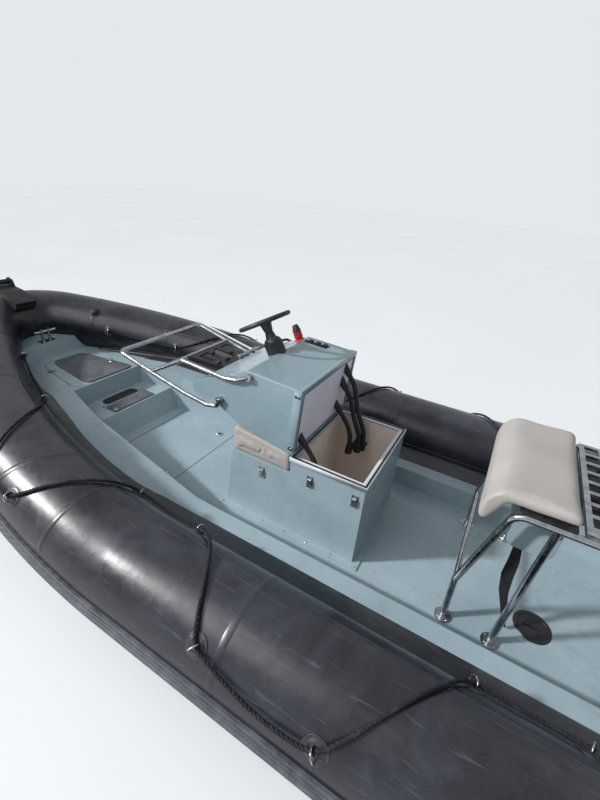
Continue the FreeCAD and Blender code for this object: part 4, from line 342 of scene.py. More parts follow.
def vinyl_finish():
    """Beige upholstery vinyl: fine leather grain, grey grubbiness and water marks."""
    vinyl = Finish("vinyl", roughness=0.48, specular=0.4)
    cloud = vinyl.noise(3.2, 5, 0.55, distortion=0.5)
    base = vinyl.mix(vinyl.ramp(cloud, 0.30, 0.72), (158, 153, 150), (173, 168, 164))
    mark = vinyl.noise(15.0, 7, 0.7, distortion=1.2)
    base = vinyl.over(base, mark, 0.58, 0.76, 0.3, (148, 143, 138))
    pore = vinyl.cells(520.0)
    vinyl.colour(vinyl.over(base, pore, 0.5, 0.15, 0.25, (140, 135, 130)))
    vinyl.rough(vinyl.ramp(mark, 0.3, 0.7, 0.42, 0.58))
    vinyl.bump((vinyl.noise(9.0, 3, 0.5), 0.5), (pore, 0.25))
    return vinyl.material


def plastic_finish(name, dark, pale, gloss=0.5):
    """Moulded plastic with a fine spark-eroded grain and greyed wear."""
    plastic = Finish(name, roughness=gloss)
    wear = plastic.noise(18.0, 5, 0.6, distortion=0.5)
    grain = plastic.noise(600.0, 2, 0.5)
    plastic.colour(plastic.mix(plastic.ramp(wear, 0.35, 0.75), dark, pale))
    plastic.rough(plastic.ramp(wear, 0.3, 0.7, gloss - 0.1, gloss + 0.12))
    plastic.bump((grain, 0.15))
    return plastic.material


def webbing_finish():
    """Woven black webbing, its ribs across the strap."""
    web = Finish("webbing", roughness=0.8, specular=0.3)
    weave = web.wave(150.0, "Z")
    fuzz = web.noise(300.0, 3, 0.6)
    base = web.mix(web.ramp(weave, 0.2, 0.9), (18, 18, 20), (46, 46, 50))
    web.colour(web.over(base, fuzz, 0.55, 0.75, 0.5, (80, 80, 84)))
    web.bump((weave, 0.6), (fuzz, 0.3))
    return web.material


finish = {
    "gelcoat_grey_blue": gelcoat_finish("deck_gelcoat", (150, 168, 176), (134, 153, 163), 0.34),
    "gelcoat_console": gelcoat_finish("console_gelcoat", (134, 154, 163), (122, 142, 152),
                                      0.18, 0.26),
    "gelcoat_hull": gelcoat_finish("hull_gelcoat", (176, 181, 184), (158, 164, 168), 0.3),
    "gelcoat_inside": gelcoat_finish("inside_flowcoat", (238, 228, 219), (226, 214, 204),
                                     0.35, 0.5),
    "panel_lilac": gelcoat_finish("bottom_panel", (226, 225, 238), (214, 214, 228), 0.12, 0.45),
    "tube_fabric": tube_finish(),
    "strake_rubber": rubber_finish("strake", (66, 69, 75), (98, 102, 107), 0.55, True),
    "black_rubber": rubber_finish("black_rubber", (24, 24, 27), (48, 48, 52)),
    "rope_black": rope_finish(),
    "stainless": steel_finish(),
    "cushion_beige": vinyl_finish(),
    "pad_grey": non_skid_finish(),
    "black_plastic": plastic_finish("black_plastic", (22, 22, 25), (46, 46, 51)),
    "red_plastic": plastic_finish("red_plastic", (158, 26, 30), (188, 50, 52), 0.35),
    "white_plastic": plastic_finish("white_plastic", (206, 206, 203), (228, 228, 225), 0.3),
    "webbing_black": webbing_finish(),
    "motor_paint": plastic_finish("motor_paint", (40, 42, 46), (56, 58, 64), 0.25),
    "prop_metal": plastic_finish("prop_metal", (36, 37, 40), (70, 71, 74), 0.4),
}

for part in frame["record"]["subparts"]:
    shape = nodes[part["node"]]
    shape.data.materials.clear()
    shape.data.materials.append(finish[part["material_slot"]])


# Mesh helpers

def new_piece(name, data, slot_name, body):
    piece = new_object(name, data)
    data.materials.append(finish[slot_name])
    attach(piece, body)
    return piece


def joined(name, shapes, slot_name, body):
    """One smooth piece from several (points, faces) shapes."""
    points = []
    faces = []
    for shape_points, shape_faces in shapes:
        start = len(points)
        points += [tuple(point) for point in shape_points]
        faces += [tuple(index + start for index in face) for face in shape_faces]
    data = bpy.data.meshes.new(name)
    data.from_pydata(points, [], faces)
    data.validate()
    data.shade_smooth()
    return new_piece(name, data, slot_name, body)


def strip_faces(rows, count, closed=True):
    """Faces between neighbouring rows of points, count points to a row."""
    faces = []
    for row in range(rows - 1):
        for column in range(count if closed else count - 1):
            after = (column + 1) % count
            faces.append((row * count + column, row * count + after,
                          (row + 1) * count + after, (row + 1) * count + column))
    return faces


def loop_faces(rows, count):
    """The same for a bar that runs round to its first row again, wound the other way."""
    return [tuple(index % (rows * count) for index in face[:1] + face[:0:-1])
            for face in strip_faces(rows + 1, count)]


def swept(path, section_at):
    """Skins closed sections along a path; section_at gives each step's ring of points."""
    rings = [section_at(number, point) for number, point in enumerate(path)]
    count = len(rings[0])
    points = [point for ring in rings for point in ring]
    faces = strip_faces(len(rings), count)
    faces.append(tuple(reversed(range(count))))
    faces.append(tuple((len(rings) - 1) * count + column for column in range(count)))
    return points, faces


def circle(centre, across, other, radius, sides):
    return [centre + (across * math.cos(turn) + other * math.sin(turn)) * radius
            for turn in (2 * math.pi * step / sides for step in range(sides))]


def way_at(path, number):
    return path[min(number + 1, len(path) - 1)] - path[max(number - 1, 0)]


def travelling_frames(path):
    """Directions across a path that turn with it and never spin."""
    frames = []
    across = None
    for number, point in enumerate(path):
        way = way_at(path, number).normalized()
        if across is None:
            across = way.orthogonal().normalized()
        across = (across - way * across.dot(way)).normalized()
        frames.append((across, way.cross(across)))
    return frames


def round_tube(path, radius_at, sides):
    """A tube along a path; radius_at gives its radius at each step."""
    frames = travelling_frames(path)
    return swept(path, lambda number, point: circle(point, *frames[number], radius_at(number),
                                                    sides))


LATHE_TIP = 1e-5


def about(axis):
    """An axis at unit length and two directions across it."""
    axis = axis.normalized()
    across = axis.orthogonal().normalized()
    return axis, across, axis.cross(across)


def lathe(foot, axis, profile, sides):
    """A turned shape of (height, radius) rows about an axis."""
    axis, across, other = about(axis)

    def ring(number, row):
        height, radius = row
        return circle(foot + axis * height, across, other, max(radius, LATHE_TIP), sides)
    return swept(profile, ring)


BOLT_PROFILE = [
    # height and radius as shares of the head's radius
    (0, 1), (0.35, 0.92), (0.62, 0.5), (0.66, 0),
]


def bolt_head(foot, axis, radius):
    """A domed screw head."""
    return lathe(foot, axis, [(high * radius, wide * radius) for high, wide in BOLT_PROFILE], 10)


CURVE_STEPS = 10


def smooth_line(points):
    """The evaluated points of a smooth curve with a route's points as its controls."""
    data = bpy.data.curves.new("route", "CURVE")
    data.dimensions = "3D"
    data.resolution_u = CURVE_STEPS
    spline = data.splines.new("NURBS")
    spline.points.add(len(points) - 1)
    for control, point in zip(spline.points, points):
        control.co = (*point, 1)
    spline.order_u = 3
    spline.use_endpoint_u = True
    piece = bpy.data.objects.new("route", data)
    line = bpy.data.meshes.new_from_object(piece)
    found = [vertex.co.copy() for vertex in line.vertices]
    bpy.data.objects.remove(piece)
    bpy.data.meshes.remove(line)
    return found


def evenly(path, step):
    """The same line, its points a step apart."""
    spaced = [path[0]]
    carried = 0.0
    for start, end in zip(path, path[1:]):
        length = (end - start).length
        reach = step - carried
        while reach <= length:
            spaced.append(start.lerp(end, reach / length))
            reach += step
        carried = length - (reach - step)
    if (spaced[-1] - path[-1]).length > step * 0.3:
        spaced.append(path[-1])
    return spaced


# Lifelines: laid rope held by rings, drooping between them

SWAGS = [
    # a ring's distance forward of the transom and its angle round the tube, then the
    # rope's free points up to the next ring
    (-0.060, 36, [(0.040, 31), (0.150, 27), (0.260, 26), (0.360, 28)]),
    (0.440, 31, [(0.490, 46), (0.540, 62), (0.590, 79), (0.645, 97), (0.700, 114), (0.770, 131)]),
    (0.850, 144, [(0.945, 147), (1.045, 147.5), (1.140, 146.5)]),
    (1.235, 144, [(1.290, 128), (1.345, 110), (1.400, 94), (1.455, 79), (1.515, 62),
                  (1.575, 45)]),
    (1.650, 27, [(1.755, 24), (1.865, 24), (1.975, 27.5), (2.080, 32)]),
    (2.190, 38, [(2.225, 54), (2.262, 70), (2.305, 86), (2.355, 102), (2.415, 118),
                 (2.490, 133)]),
    (2.578, 147, [(2.690, 149), (2.810, 150), (2.930, 150)]),
    (3.044, 148, [(3.095, 132), (3.145, 116), (3.200, 100), (3.260, 84), (3.320, 68),
                  (3.380, 52)]),
    (3.450, 37, [(3.540, 34), (3.630, 36)]),
    (3.710, 42, [(3.760, 57), (3.810, 73), (3.865, 89), (3.930, 105), (4.010, 121),
                 (4.105, 136), (4.210, 149)]),
    (4.313, 158, [(4.450, 161), (4.600, 162), (4.750, 162), (4.900, 161)]),
    (5.037, 159, []),
]
ROPE_RADIUS = 0.009
ROPE_LIFT = 0.016
RING_LIFT = 0.018
ROPE_PITCH = 0.058
ROPE_STEP = 0.0075
STRANDS = 3
STRAND_POINTS = 6
GROOVE_SHARE = 0.66


def laid_rope(path):
    """Three strands twisted along a path, as one lobed skin."""
    frames = travelling_frames(path)
    count = STRANDS * STRAND_POINTS

    def ring(number, point):
        across, other = frames[number]
        twist = 2 * math.pi * number * ROPE_STEP / ROPE_PITCH
        found = []
        for step in range(count):
            turn = 2 * math.pi * step / count
            crown = abs(math.cos(STRANDS * turn / 2))
            radius = ROPE_RADIUS * (GROOVE_SHARE + (1 - GROOVE_SHARE) * crown ** 0.7)
            angle = turn + twist
            found.append(point + (across * math.cos(angle) + other * math.sin(angle)) * radius)
        return found
    return swept(path, ring)


EYE_RADIUS = 0.023
EYE_WIRE = 0.0036
HOOP_SIDES = 22
HOOP_WIRE_SIDES = 8


def hoop(centre, axis, radius, wire):
    """A round wire ring about an axis."""
    axis, across, other = about(axis)
    points = []
    for out in circle(Vector(), across, other, 1, HOOP_SIDES):
        points += circle(centre + out * radius, out, axis, wire, HOOP_WIRE_SIDES)
    return points, loop_faces(HOOP_SIDES, HOOP_WIRE_SIDES)


KNOT_PROFILE = [
    # distance in from the rope's end, radius
    (-0.002, 0.006), (0.001, 0.012), (0.006, 0.016), (0.012, 0.0175), (0.016, 0.0155),
    (0.020, 0.0172), (0.027, 0.0165), (0.032, 0.012), (0.036, 0.009),
]


def make_lifelines():
    held = []
    for distance, angle, free in SWAGS:
        held += [(distance, angle, RING_LIFT)] + [(*spot, ROPE_LIFT) for spot in free]
    for name, side in SIDES:
        route = [on_tube(*spot, side)[0] for spot in held]
        path = evenly(smooth_line(route), ROPE_STEP)
        rope = joined(name + "_rope", [laid_rope(path)], "rope_black", "boat")
        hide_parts(name + "_lifeline")
        knots = [lathe(end, inner - end, KNOT_PROFILE, 18)
                 for end, inner in ((path[0], path[1]), (path[-1], path[-2]))]
        joined(name + "_knots", knots, "rope_black", "boat")
        eyes = []
        for number, (distance, angle, lift) in enumerate(held):
            if lift == RING_LIFT:
                eyes.append(hoop(route[number], way_at(route, number), EYE_RADIUS, EYE_WIRE))
        joined(name + "_eyes", eyes, "stainless", "boat")


make_lifelines()


# Corrugated hoses from the console to the locker

HOSES = [
    # node, route of (x, y, z) points
    ("steering_hose", [(-0.1990, 0.280, 0.757), (-0.230, 0.280, 0.723), (-0.258, 0.279, 0.684),
                       (-0.278, 0.277, 0.641), (-0.288, 0.274, 0.593), (-0.288, 0.274, 0.545)]),
    ("throttle_hose", [(-0.2175, -0.220, 0.999), (-0.245, -0.221, 0.965),
                       (-0.264, -0.223, 0.921), (-0.276, -0.226, 0.868),
                       (-0.290, -0.230, 0.811), (-0.308, -0.234, 0.752),
                       (-0.330, -0.240, 0.697), (-0.352, -0.244, 0.644),
                       (-0.364, -0.246, 0.594), (-0.364, -0.246, 0.545)]),
    ("wiring_hose", [(-0.2120, -0.200, 0.912), (-0.240, -0.201, 0.875), (-0.260, -0.202, 0.830),
                     (-0.275, -0.203, 0.781), (-0.291, -0.204, 0.732), (-0.311, -0.205, 0.685),
                     (-0.333, -0.206, 0.641), (-0.347, -0.206, 0.594),
                     (-0.347, -0.206, 0.545)]),
    ("lower_hose", [(-0.2010, -0.176, 0.760), (-0.232, -0.177, 0.724), (-0.262, -0.175, 0.686),
                    (-0.288, -0.168, 0.644), (-0.304, -0.160, 0.595), (-0.304, -0.160, 0.545)]),
]
HOSE_RADIUS = 0.016
HOSE_STEP = 0.0016
HOSE_RIB = 0.0066
RIB_SHARE = 0.07


def make_hoses():
    for node, route in HOSES:
        path = evenly(smooth_line([Vector(point) for point in route]), HOSE_STEP)

        def radius(number):
            swell = math.cos(2 * math.pi * number * HOSE_STEP / HOSE_RIB)
            return HOSE_RADIUS * (1 - RIB_SHARE + RIB_SHARE * swell)
        piece = joined(node + "_ribbed", [round_tube(path, radius, 16)], "black_rubber", "boat")
        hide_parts(node)


make_hoses()


# Cushions

CUSHION_VOXEL = 0.0065
CUSHION_PRESSURE = 4.0
CLOTH_FRAMES = 20
PRISM_SEGMENTS = 5


def applied(piece):
    """A piece's mesh as its modifiers leave it."""
    depsgraph = bpy.context.evaluated_depsgraph_get()
    return bpy.data.meshes.new_from_object(piece.evaluated_get(depsgraph))


def swelled(source, most, rounds):
    """A padded form: remeshed, blown up a little as cloth and held within a limit."""
    remesh = source.modifiers.new("remesh", "REMESH")
    remesh.mode = "VOXEL"
    remesh.voxel_size = CUSHION_VOXEL
    data = applied(source)
    form = bmesh.new()
    form.from_mesh(data)
    for _ in range(rounds):
        bmesh.ops.smooth_vert(form, verts=form.verts, factor=0.5, use_axis_x=True,
                              use_axis_y=True, use_axis_z=True)
    form.to_mesh(data)
    form.free()
    start = [vertex.co.copy() for vertex in data.vertices]
    puffed = new_object("puffed", data)
    cloth = puffed.modifiers.new("cloth", "CLOTH")
    cloth.settings.use_pressure = True
    cloth.settings.uniform_pressure_force = CUSHION_PRESSURE
    cloth.settings.effector_weights.gravity = 0
    cloth.point_cache.frame_start = 1
    cloth.point_cache.frame_end = CLOTH_FRAMES
    for number in range(1, CLOTH_FRAMES + 1):
        bpy.context.scene.frame_set(number)
    result = applied(puffed)
    bpy.data.objects.remove(puffed)
    bpy.context.scene.frame_set(1)
    for vertex, before in zip(result.vertices, start):
        moved = vertex.co - before
        if moved.length > most:
            vertex.co = before + moved.normalized() * most
    result.shade_smooth()
    return result


def soften(form, bevel, segments):
    """Rounds every edge and corner."""
    bmesh.ops.bevel(form, geom=form.edges[:] + form.verts[:], offset=bevel, segments=segments,
                    affect="EDGES", profile=0.5)


def prism_mesh(name, outline, half_width, bevel):
    """A bevelled prism across the boat from a side outline of (x, z)."""
    form = bmesh.new()
    left = [form.verts.new((x, half_width, z)) for x, z in outline]
    right = [form.verts.new((x, -half_width, z)) for x, z in outline]
    form.faces.new(left)
    form.faces.new(list(reversed(right)))
    for number in range(len(outline)):
        after = (number + 1) % len(outline)
        form.faces.new((left[after], left[number], right[number], right[after]))
    bmesh.ops.recalc_face_normals(form, faces=form.faces)
    soften(form, bevel, PRISM_SEGMENTS)
    data = bpy.data.meshes.new(name)
    form.to_mesh(data)
    form.free()
    return data


CUSHIONS = [
    # piece, node, half width, most that it swells, rounds of smoothing, side outline of (x, z)
    ("helm_cushion", "seat_cushion", 0.379, 0.007, 26,
     [(-1.464, 0.934), (-1.200, 0.934), (-1.150, 0.806), (-1.113, 0.800), (-1.104, 0.850),
      (-1.114, 0.925), (-1.155, 0.975), (-1.210, 0.986), (-1.440, 0.986), (-1.464, 0.966)]),
    ("forward_cushion", "front_cushion", 0.336, 0.005, 5,
     [(-0.138, 0.574), (0.261, 0.574), (0.261, 0.736), (-0.138, 0.697)]),
]
CUSHION_BEVEL = 0.014


def make_cushions():
    for name, node, half_width, most, rounds, outline in CUSHIONS:
        shape = prism_mesh(name, outline, half_width, CUSHION_BEVEL)
        form = new_object(name + "_form", shape)
        data = swelled(form, most, rounds)
        bpy.data.objects.remove(form)
        piece = new_piece(name, data, "cushion_beige", "boat")
        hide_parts(node)


make_cushions()


# Tube: patches under the rings, bands over the seams and the long welt

PATCH_RINGS = [
    # distance from the patch's centre, height over the skin
    (0.0515, 0.0002), (0.0512, 0.0026), (0.0500, 0.0034), (0.0475, 0.0035), (0.0350, 0.0035),
    (0.0345, 0.0040), (0.0342, 0.0054), (0.0330, 0.0060), (0.0300, 0.0061), (0.0, 0.0061),
]
PATCH_SIDES = 28


def tube_patch(distance, angle, side, scale=1.0):
    """A round stepped patch lying on the tube's curve."""
    points = []
    for radius, lift in PATCH_RINGS:
        for step in range(PATCH_SIDES):
            turn = 2 * math.pi * step / PATCH_SIDES
            along = distance + math.cos(turn) * radius * scale
            around = angle + math.degrees(math.sin(turn) * radius * scale / TUBE_RADIUS)
            points.append(on_tube(along, around, lift, side)[0])
    return points, strip_faces(len(PATCH_RINGS), PATCH_SIDES)


BAND_EDGE = 0.0002


def skin_band(start, end, steps, width, lift, side):
    """A flat strip on the tube between two (distance, angle) spots, its edges turned down."""
    profile = [(-0.5, BAND_EDGE), (-0.47, lift), (0.47, lift), (0.5, BAND_EDGE)]
    route = [[a + (b - a) * step / steps for a, b in zip(start, end)]
             for step in range(steps + 1)]
    centres = [on_tube(distance, angle, 0, side) for distance, angle in route]
    points = []
    line = [centre for centre, normal in centres]
    for number, (centre, normal) in enumerate(centres):
        across = normal.cross(way_at(line, number)).normalized()
        for share, height in profile:
            points.append(centre + across * (share * width) + normal * height)
    return points, strip_faces(len(centres), len(profile), closed=False)


GIRTH_SEAMS = [
    # distance along at the outer side and at the inner side, band width
    (0.62, 0.62, 0.034), (2.09, 2.09, 0.034), (3.17, 3.10, 0.030), (3.72, 3.36, 0.034),
    (4.62, 4.42, 0.030), (5.35, 5.20, 0.034),
]
WELTS = [
    # start and end as (distance, angle), band width
    ((0.64, 118), (2.07, 116), 0.026), ((2.11, 112), (3.14, 119), 0.026),
    ((3.60, 121), (4.52, 128), 0.026),
]
SEAM_ANGLES = (-34, 186)
SEAM_STEPS = 40
SEAM_LIFT = 0.0007
WELT_STEPS = 24
WELT_LIFT = 0.0009
patch_skin = rubber_finish("patch_skin", (34, 35, 40), (66, 68, 74), 0.42)


def make_tube_trim():
    low, high = SEAM_ANGLES
    for name, side in SIDES:
        patches = [tube_patch(distance, angle, side) for distance, angle, free in SWAGS]
        piece = joined(name + "_patches", patches, "tube_fabric", "boat")
        piece.data.materials[0] = patch_skin
        bands = [skin_band((outer, low), (inner, high), SEAM_STEPS, width, SEAM_LIFT, side)
                 for outer, inner, width in GIRTH_SEAMS]
        bands += [skin_band(start, end, WELT_STEPS, width, WELT_LIFT, side)
                  for start, end, width in WELTS]
        joined(name + "_seams", bands, "tube_fabric", "boat")


make_tube_trim()


# Seal between the deck and each tube

SEAL_EDGE = [
    # x, how far inboard of the tube's centreline the seal ends on the deck
    (-2.440, 0.430), (0.239, 0.430), (0.356, 0.424), (0.512, 0.412), (0.640, 0.390),
    (0.760, 0.374), (0.902, 0.367), (1.109, 0.360), (1.367, 0.358), (1.622, 0.364),
    (1.979, 0.364), (2.250, 0.320), (2.600, 0.274),
]
SEAL_SKIN = [
    # degrees up the tube from where it meets the deck, lift
    (-9, -0.002), (-9, 0.0028), (-8, 0.004), (-2, 0.004),
]
FLANGE_DROP = 0.020
BOW_DECK_TOP = 0.440
SEAL_THICKNESS = 0.004
SEAL_SINK = -0.002
SEAL_ROUND = 0.003
SEAL_LIP = 0.0018
SEAL_CREASE = TUBE_RADIUS + 0.008
SEAL_BACK = 0.25
SEAL_START = 0.06
SEAL_STEP = 0.05
SEAL_END_X = 2.600
SEAL_POINTS = 9


def seal_inset(x):
    for (start, first), (end, last) in zip(SEAL_EDGE, SEAL_EDGE[1:]):
        if x <= end:
            share = max(x - start, 0) / (end - start)
            share = share * share * (3 - 2 * share)
            return first + (last - first) * share
    return SEAL_EDGE[-1][1]


def seal_section(distance, side):
    """Up the tube's skin, then out over the deck to the seal's edge and back beneath."""
    centre, outward, upward = tube_frame(distance)
    flange = min(centre.z - FLANGE_DROP, BOW_DECK_TOP)
    meet = 180 + math.degrees(math.asin((centre.z - flange) / TUBE_RADIUS))
    ring = [on_tube(distance, meet + degrees, lift)[0] for degrees, lift in SEAL_SKIN]
    flat = Vector((outward.x, outward.y, 0)).normalized()
    inset = seal_inset(centre.x)
    for reach, lift in ((SEAL_CREASE, SEAL_THICKNESS), (inset - SEAL_ROUND, SEAL_THICKNESS),
                        (inset, SEAL_THICKNESS - SEAL_LIP), (inset, SEAL_SINK),
                        (SEAL_BACK, SEAL_SINK)):
        if reach <= inset:
            point = centre - flat * reach
            point.z = flange + lift
            ring.append(point)
    ring += [ring[-1]] * (SEAL_POINTS - len(ring))
    return [on_side(point, side) for point in ring]


def make_seals():
    path = []
    distance = SEAL_START
    while tube_frame(distance)[0].x < SEAL_END_X:
        path.append(distance)
        distance += SEAL_STEP
    for name, side in SIDES:
        skin = swept(path, lambda number, distance: seal_section(distance, side))
        seal = joined(name + "_seal", [skin], "tube_fabric", "boat")
        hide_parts(name + "_collar_strip")


make_seals()


# Small fittings on the deck, the locker and the console

def moulded_box(low, high, bevel, place=None):
    """A box with softened edges; place moves each point of it."""
    form = bmesh.new()
    bmesh.ops.create_cube(form, size=1.0)
    middle = (Vector(low) + Vector(high)) / 2
    size = Vector(high) - Vector(low)
    for vertex in form.verts:
        vertex.co = middle + Vector([vertex.co[axis] * size[axis] for axis in range(3)])
    soften(form, bevel, 2)
    form.verts.ensure_lookup_table()
    points = [place(vertex.co) if place else vertex.co.copy() for vertex in form.verts]
    faces = [tuple(vertex.index for vertex in face.verts) for face in form.faces]
    form.free()
    return points, faces


TILT = math.radians(86)
HINGE = Vector((-0.155, 0, 0.709))


def on_console(point):
    """Where a point of the closed console, (run aft, y, rise), is as it lies tipped."""
    run, y, rise = point
    return HINGE + Vector((-run * math.cos(TILT) + rise * math.sin(TILT), y,
                           run * math.sin(TILT) + rise * math.cos(TILT)))


def console_way(*way):
    """A direction on the closed console as it lies tipped."""
    return (on_console(way) - HINGE).normalized()


def console_boxes(corners, bevel):
    """Boxes on the console from (low, high) corners as (run aft, y, rise)."""
    return [moulded_box(low, high, bevel, on_console) for low, high in corners]


CORNER_STEPS = 6


def rounded_plate(outline, radius, low, high, bevel):
    """A flat slab from a plan outline with rounded corners and softened top edges."""
    count = len(outline)
    ring = []
    for number in range(count):
        corner = Vector(outline[number])
        before = (Vector(outline[number - 1]) - corner).normalized()
        after = (Vector(outline[(number + 1) % count]) - corner).normalized()
        for step in range(CORNER_STEPS + 1):
            share = step / CORNER_STEPS
            first = corner + before * radius * (1 - share)
            last = corner + after * radius * share
            ring.append(first.lerp(last, share))
    centre = sum(ring, Vector((0, 0))) / len(ring)
    levels = [(0, low), (0, high - bevel), (bevel * 0.3, high - bevel * 0.3), (bevel, high),
              (bevel * 3, high)]
    rings = [[Vector((*(point + (centre - point).normalized() * inset), z)) for point in ring]
             for inset, z in levels]
    return swept(rings, lambda number, row: row)


LOCKER_AFT = -0.600
LOCKER_FRONT = 0.311
OPENING_FRONT = -0.150
LOCKER_HALF = 0.340
RIM_TOP = 0.685
RIM_BARS = [
    # outer and inner inset from the locker's faces, bottom and top from the rim, bevel
    (-0.0065, 0.0012, -0.020, 0.0045, 0.003), (0.0108, 0.030, -0.004, 0.0040, 0.002),
]


def rim_frame(outer, inner, low, high, bevel):
    """Four mitred bars round the locker's opening, at insets from its outer faces."""
    def corners(inset):
        aft = LOCKER_AFT + inset
        front = OPENING_FRONT - inset
        half = LOCKER_HALF - inset
        return [Vector(spot) for spot in ((aft, -half), (front, -half), (front, half), (aft, half))]

    profile = [(0, low), (0, high - bevel), (0.04, high - bevel * 0.3), (0.12, high),
               (0.88, high), (0.96, high - bevel * 0.3), (1, high - bevel), (1, low)]
    points = [Vector((*first.lerp(last, share), z))
              for first, last in zip(corners(outer), corners(inner)) for share, z in profile]
    return points, loop_faces(4, len(profile))


FLANGE_REACH = 0.024
FLANGE_TOP = 0.137
FLANGE_BOLT_GAP = 0.158
FLANGE_END_BOLTS = (-0.25, -0.08, 0.08, 0.25)
BOLT_RADIUS = 0.0065
HINGE_HALF = 0.300
HINGE_CAP = [
    # distance past the hinge's end, radius
    (0, 0.0095), (0.044, 0.0095), (0.046, 0.007), (0.046, 0),
]


def bolts_at(spots):
    """Bolt heads on the flat feet and flanges that stand on the deck."""
    return [bolt_head(Vector((x, y, FLANGE_TOP)), Z, BOLT_RADIUS) for x, y in spots]


def make_locker_trim():
    bars = [rim_frame(outer, inner, RIM_TOP + low, RIM_TOP + high, bevel)
            for outer, inner, low, high, bevel in RIM_BARS]
    rim = joined("rim_lip", bars, "gelcoat_console", "boat")
    # The outer bar's pale colour is a painted highlight along the rolled rim edge; the inner bar is
    # the flange's own pale colour.
    rim.data.materials[0] = rim_pale_and_painted_highlight
    spots = []
    x = LOCKER_AFT - FLANGE_REACH
    while x < LOCKER_FRONT + FLANGE_REACH:
        spots += [(x, side * (LOCKER_HALF + FLANGE_REACH)) for side in (1, -1)]
        x += FLANGE_BOLT_GAP
    for y in FLANGE_END_BOLTS:
        spots += [(LOCKER_AFT - FLANGE_REACH, y), (LOCKER_FRONT + FLANGE_REACH, y)]
    joined("flange_bolts", bolts_at(spots), "stainless", "boat")
    caps = [lathe(Vector((HINGE.x, side * HINGE_HALF, HINGE.z)), Y * side, HINGE_CAP, 16)
            for side in (1, -1)]
    joined("hinge_caps", caps, "black_rubber", "boat")


# Pale rim colour: partly a painted highlight on the outer bar, partly the inner flange's own
# colour.
rim_pale_and_painted_highlight = gelcoat_finish("rim_pale_and_painted_highlight", (206, 212, 215), (190, 198, 203), 0.2, 0.24)
make_locker_trim()


CONSOLE_LIP = [
    # low and high corner as (run aft, y, rise) on the closed console
    ((0.003, 0.3502, -0.0096), (0.4085, 0.3530, 0.036)),
    ((0.003, -0.3530, -0.0096), (0.4085, -0.3502, 0.036)),
    ((0.4062, -0.3528, -0.0096), (0.4090, 0.3528, 0.012)),
]
PANEL_GASKET = [
    ((0.022, -0.328, -0.0118), (0.0265, 0.328, -0.0100)),
    ((0.3795, -0.328, -0.0118), (0.384, 0.328, -0.0100)),
    ((0.022, -0.328, -0.0118), (0.384, -0.3235, -0.0100)),
    ((0.022, 0.3235, -0.0118), (0.384, 0.328, -0.0100)),
]
KEEPER_RUNS = (0.045, 0.376)
KEEPER_FOOT = 0.3530
KEEPER_FACE = 0.3550
KEEPER_HOOK = 0.3625
KEEPER_BOLT_RISES = (0.012, 0.024)
KEEPER_BOLT_RADIUS = 0.0035


def make_console_trim():
    joined("console_lip", console_boxes(CONSOLE_LIP, 0.0012), "gelcoat_console", "console")
    joined("panel_gasket", console_boxes(PANEL_GASKET, 0.0006), "black_rubber", "console")
    keepers = []
    for run in KEEPER_RUNS:
        keepers += console_boxes([((run - 0.014, KEEPER_FOOT, -0.004),
                                   (run + 0.014, KEEPER_FACE, 0.030))], 0.0008)
        keepers += console_boxes([((run - 0.009, KEEPER_FACE, -0.002),
                                   (run + 0.009, KEEPER_HOOK, 0.006))], 0.0012)
        keepers += [bolt_head(on_console((run, KEEPER_FACE, rise)), Y, KEEPER_BOLT_RADIUS)
                    for rise in KEEPER_BOLT_RISES]
    joined("latch_keepers", keepers, "stainless", "console")


make_console_trim()


DASH_NORMAL = console_way(0.870, 0, 0.493)
AFT_NORMAL = console_way(1, 0, 0)
KILL_SWITCH = (0.3710, -0.310, 0.388)
KILL_CAP_LIFT = 0.061
KILL_CAP = [
    # height and radius of the pull cap
    (0, 0.0150), (0, 0.0285), (0.004, 0.0290), (0.010, 0.0262), (0.022, 0.0232),
    (0.036, 0.0205), (0.0425, 0.0160), (0.0445, 0.0080), (0.0448, 0),
]
SWITCH_RISES = (0.1893, 0.2400, 0.2907)
SWITCH_FACE_RUN = 0.4060
SWITCH_FACE_RAKE = 0.0149
AERIAL_CLAMP = [
    # distance to starboard along the clamp's barrel, radius
    (0.0, 0.010), (0.004, 0.0145), (0.030, 0.0145), (0.034, 0.0105), (0.078, 0.0105),
    (0.082, 0.0165), (0.118, 0.0165), (0.122, 0.0110), (0.160, 0.0110), (0.164, 0.0150),
    (0.205, 0.0150), (0.209, 0.0100), (0.240, 0.0100), (0.244, 0.0060), (0.250, 0.0),
]
AERIAL_CLAMP_PLACE = (0.214, -0.070, 0.703)
AERIAL_FEET = (-0.100, -0.235)


def make_dash_fittings():
    foot = on_console(KILL_SWITCH) + DASH_NORMAL * KILL_CAP_LIFT
    joined("kill_switch_cap", [lathe(foot, DASH_NORMAL, KILL_CAP, 26)], "black_plastic", "console")
    rockers = []
    painted_glints = []
    for rise in SWITCH_RISES:
        run = SWITCH_FACE_RUN - SWITCH_FACE_RAKE * rise
        rockers.append(((run + 0.0085, -0.2862, rise - 0.0205),
                        (run + 0.0130, -0.2498, rise + 0.0205)))
        # Painted highlights: small white patches on the rockers stand in for their glints.
        painted_glints.append(((run + 0.0128, -0.2790, rise + 0.006),
                       (run + 0.0140, -0.2570, rise + 0.0135)))
    joined("switch_rockers", console_boxes(rockers, 0.0018), "black_plastic", "console")
    joined("switch_painted_glints", console_boxes(painted_glints, 0.0006), "white_plastic", "console")
    feet = [((0.190, y - 0.014, 0.6925), (0.220, y + 0.014, 0.7000)) for y in AERIAL_FEET]
    clamp = lathe(on_console(AERIAL_CLAMP_PLACE), -Y, AERIAL_CLAMP, 18)
    joined("aerial_mount", [clamp] + console_boxes(feet, 0.002), "stainless", "console")


make_dash_fittings()


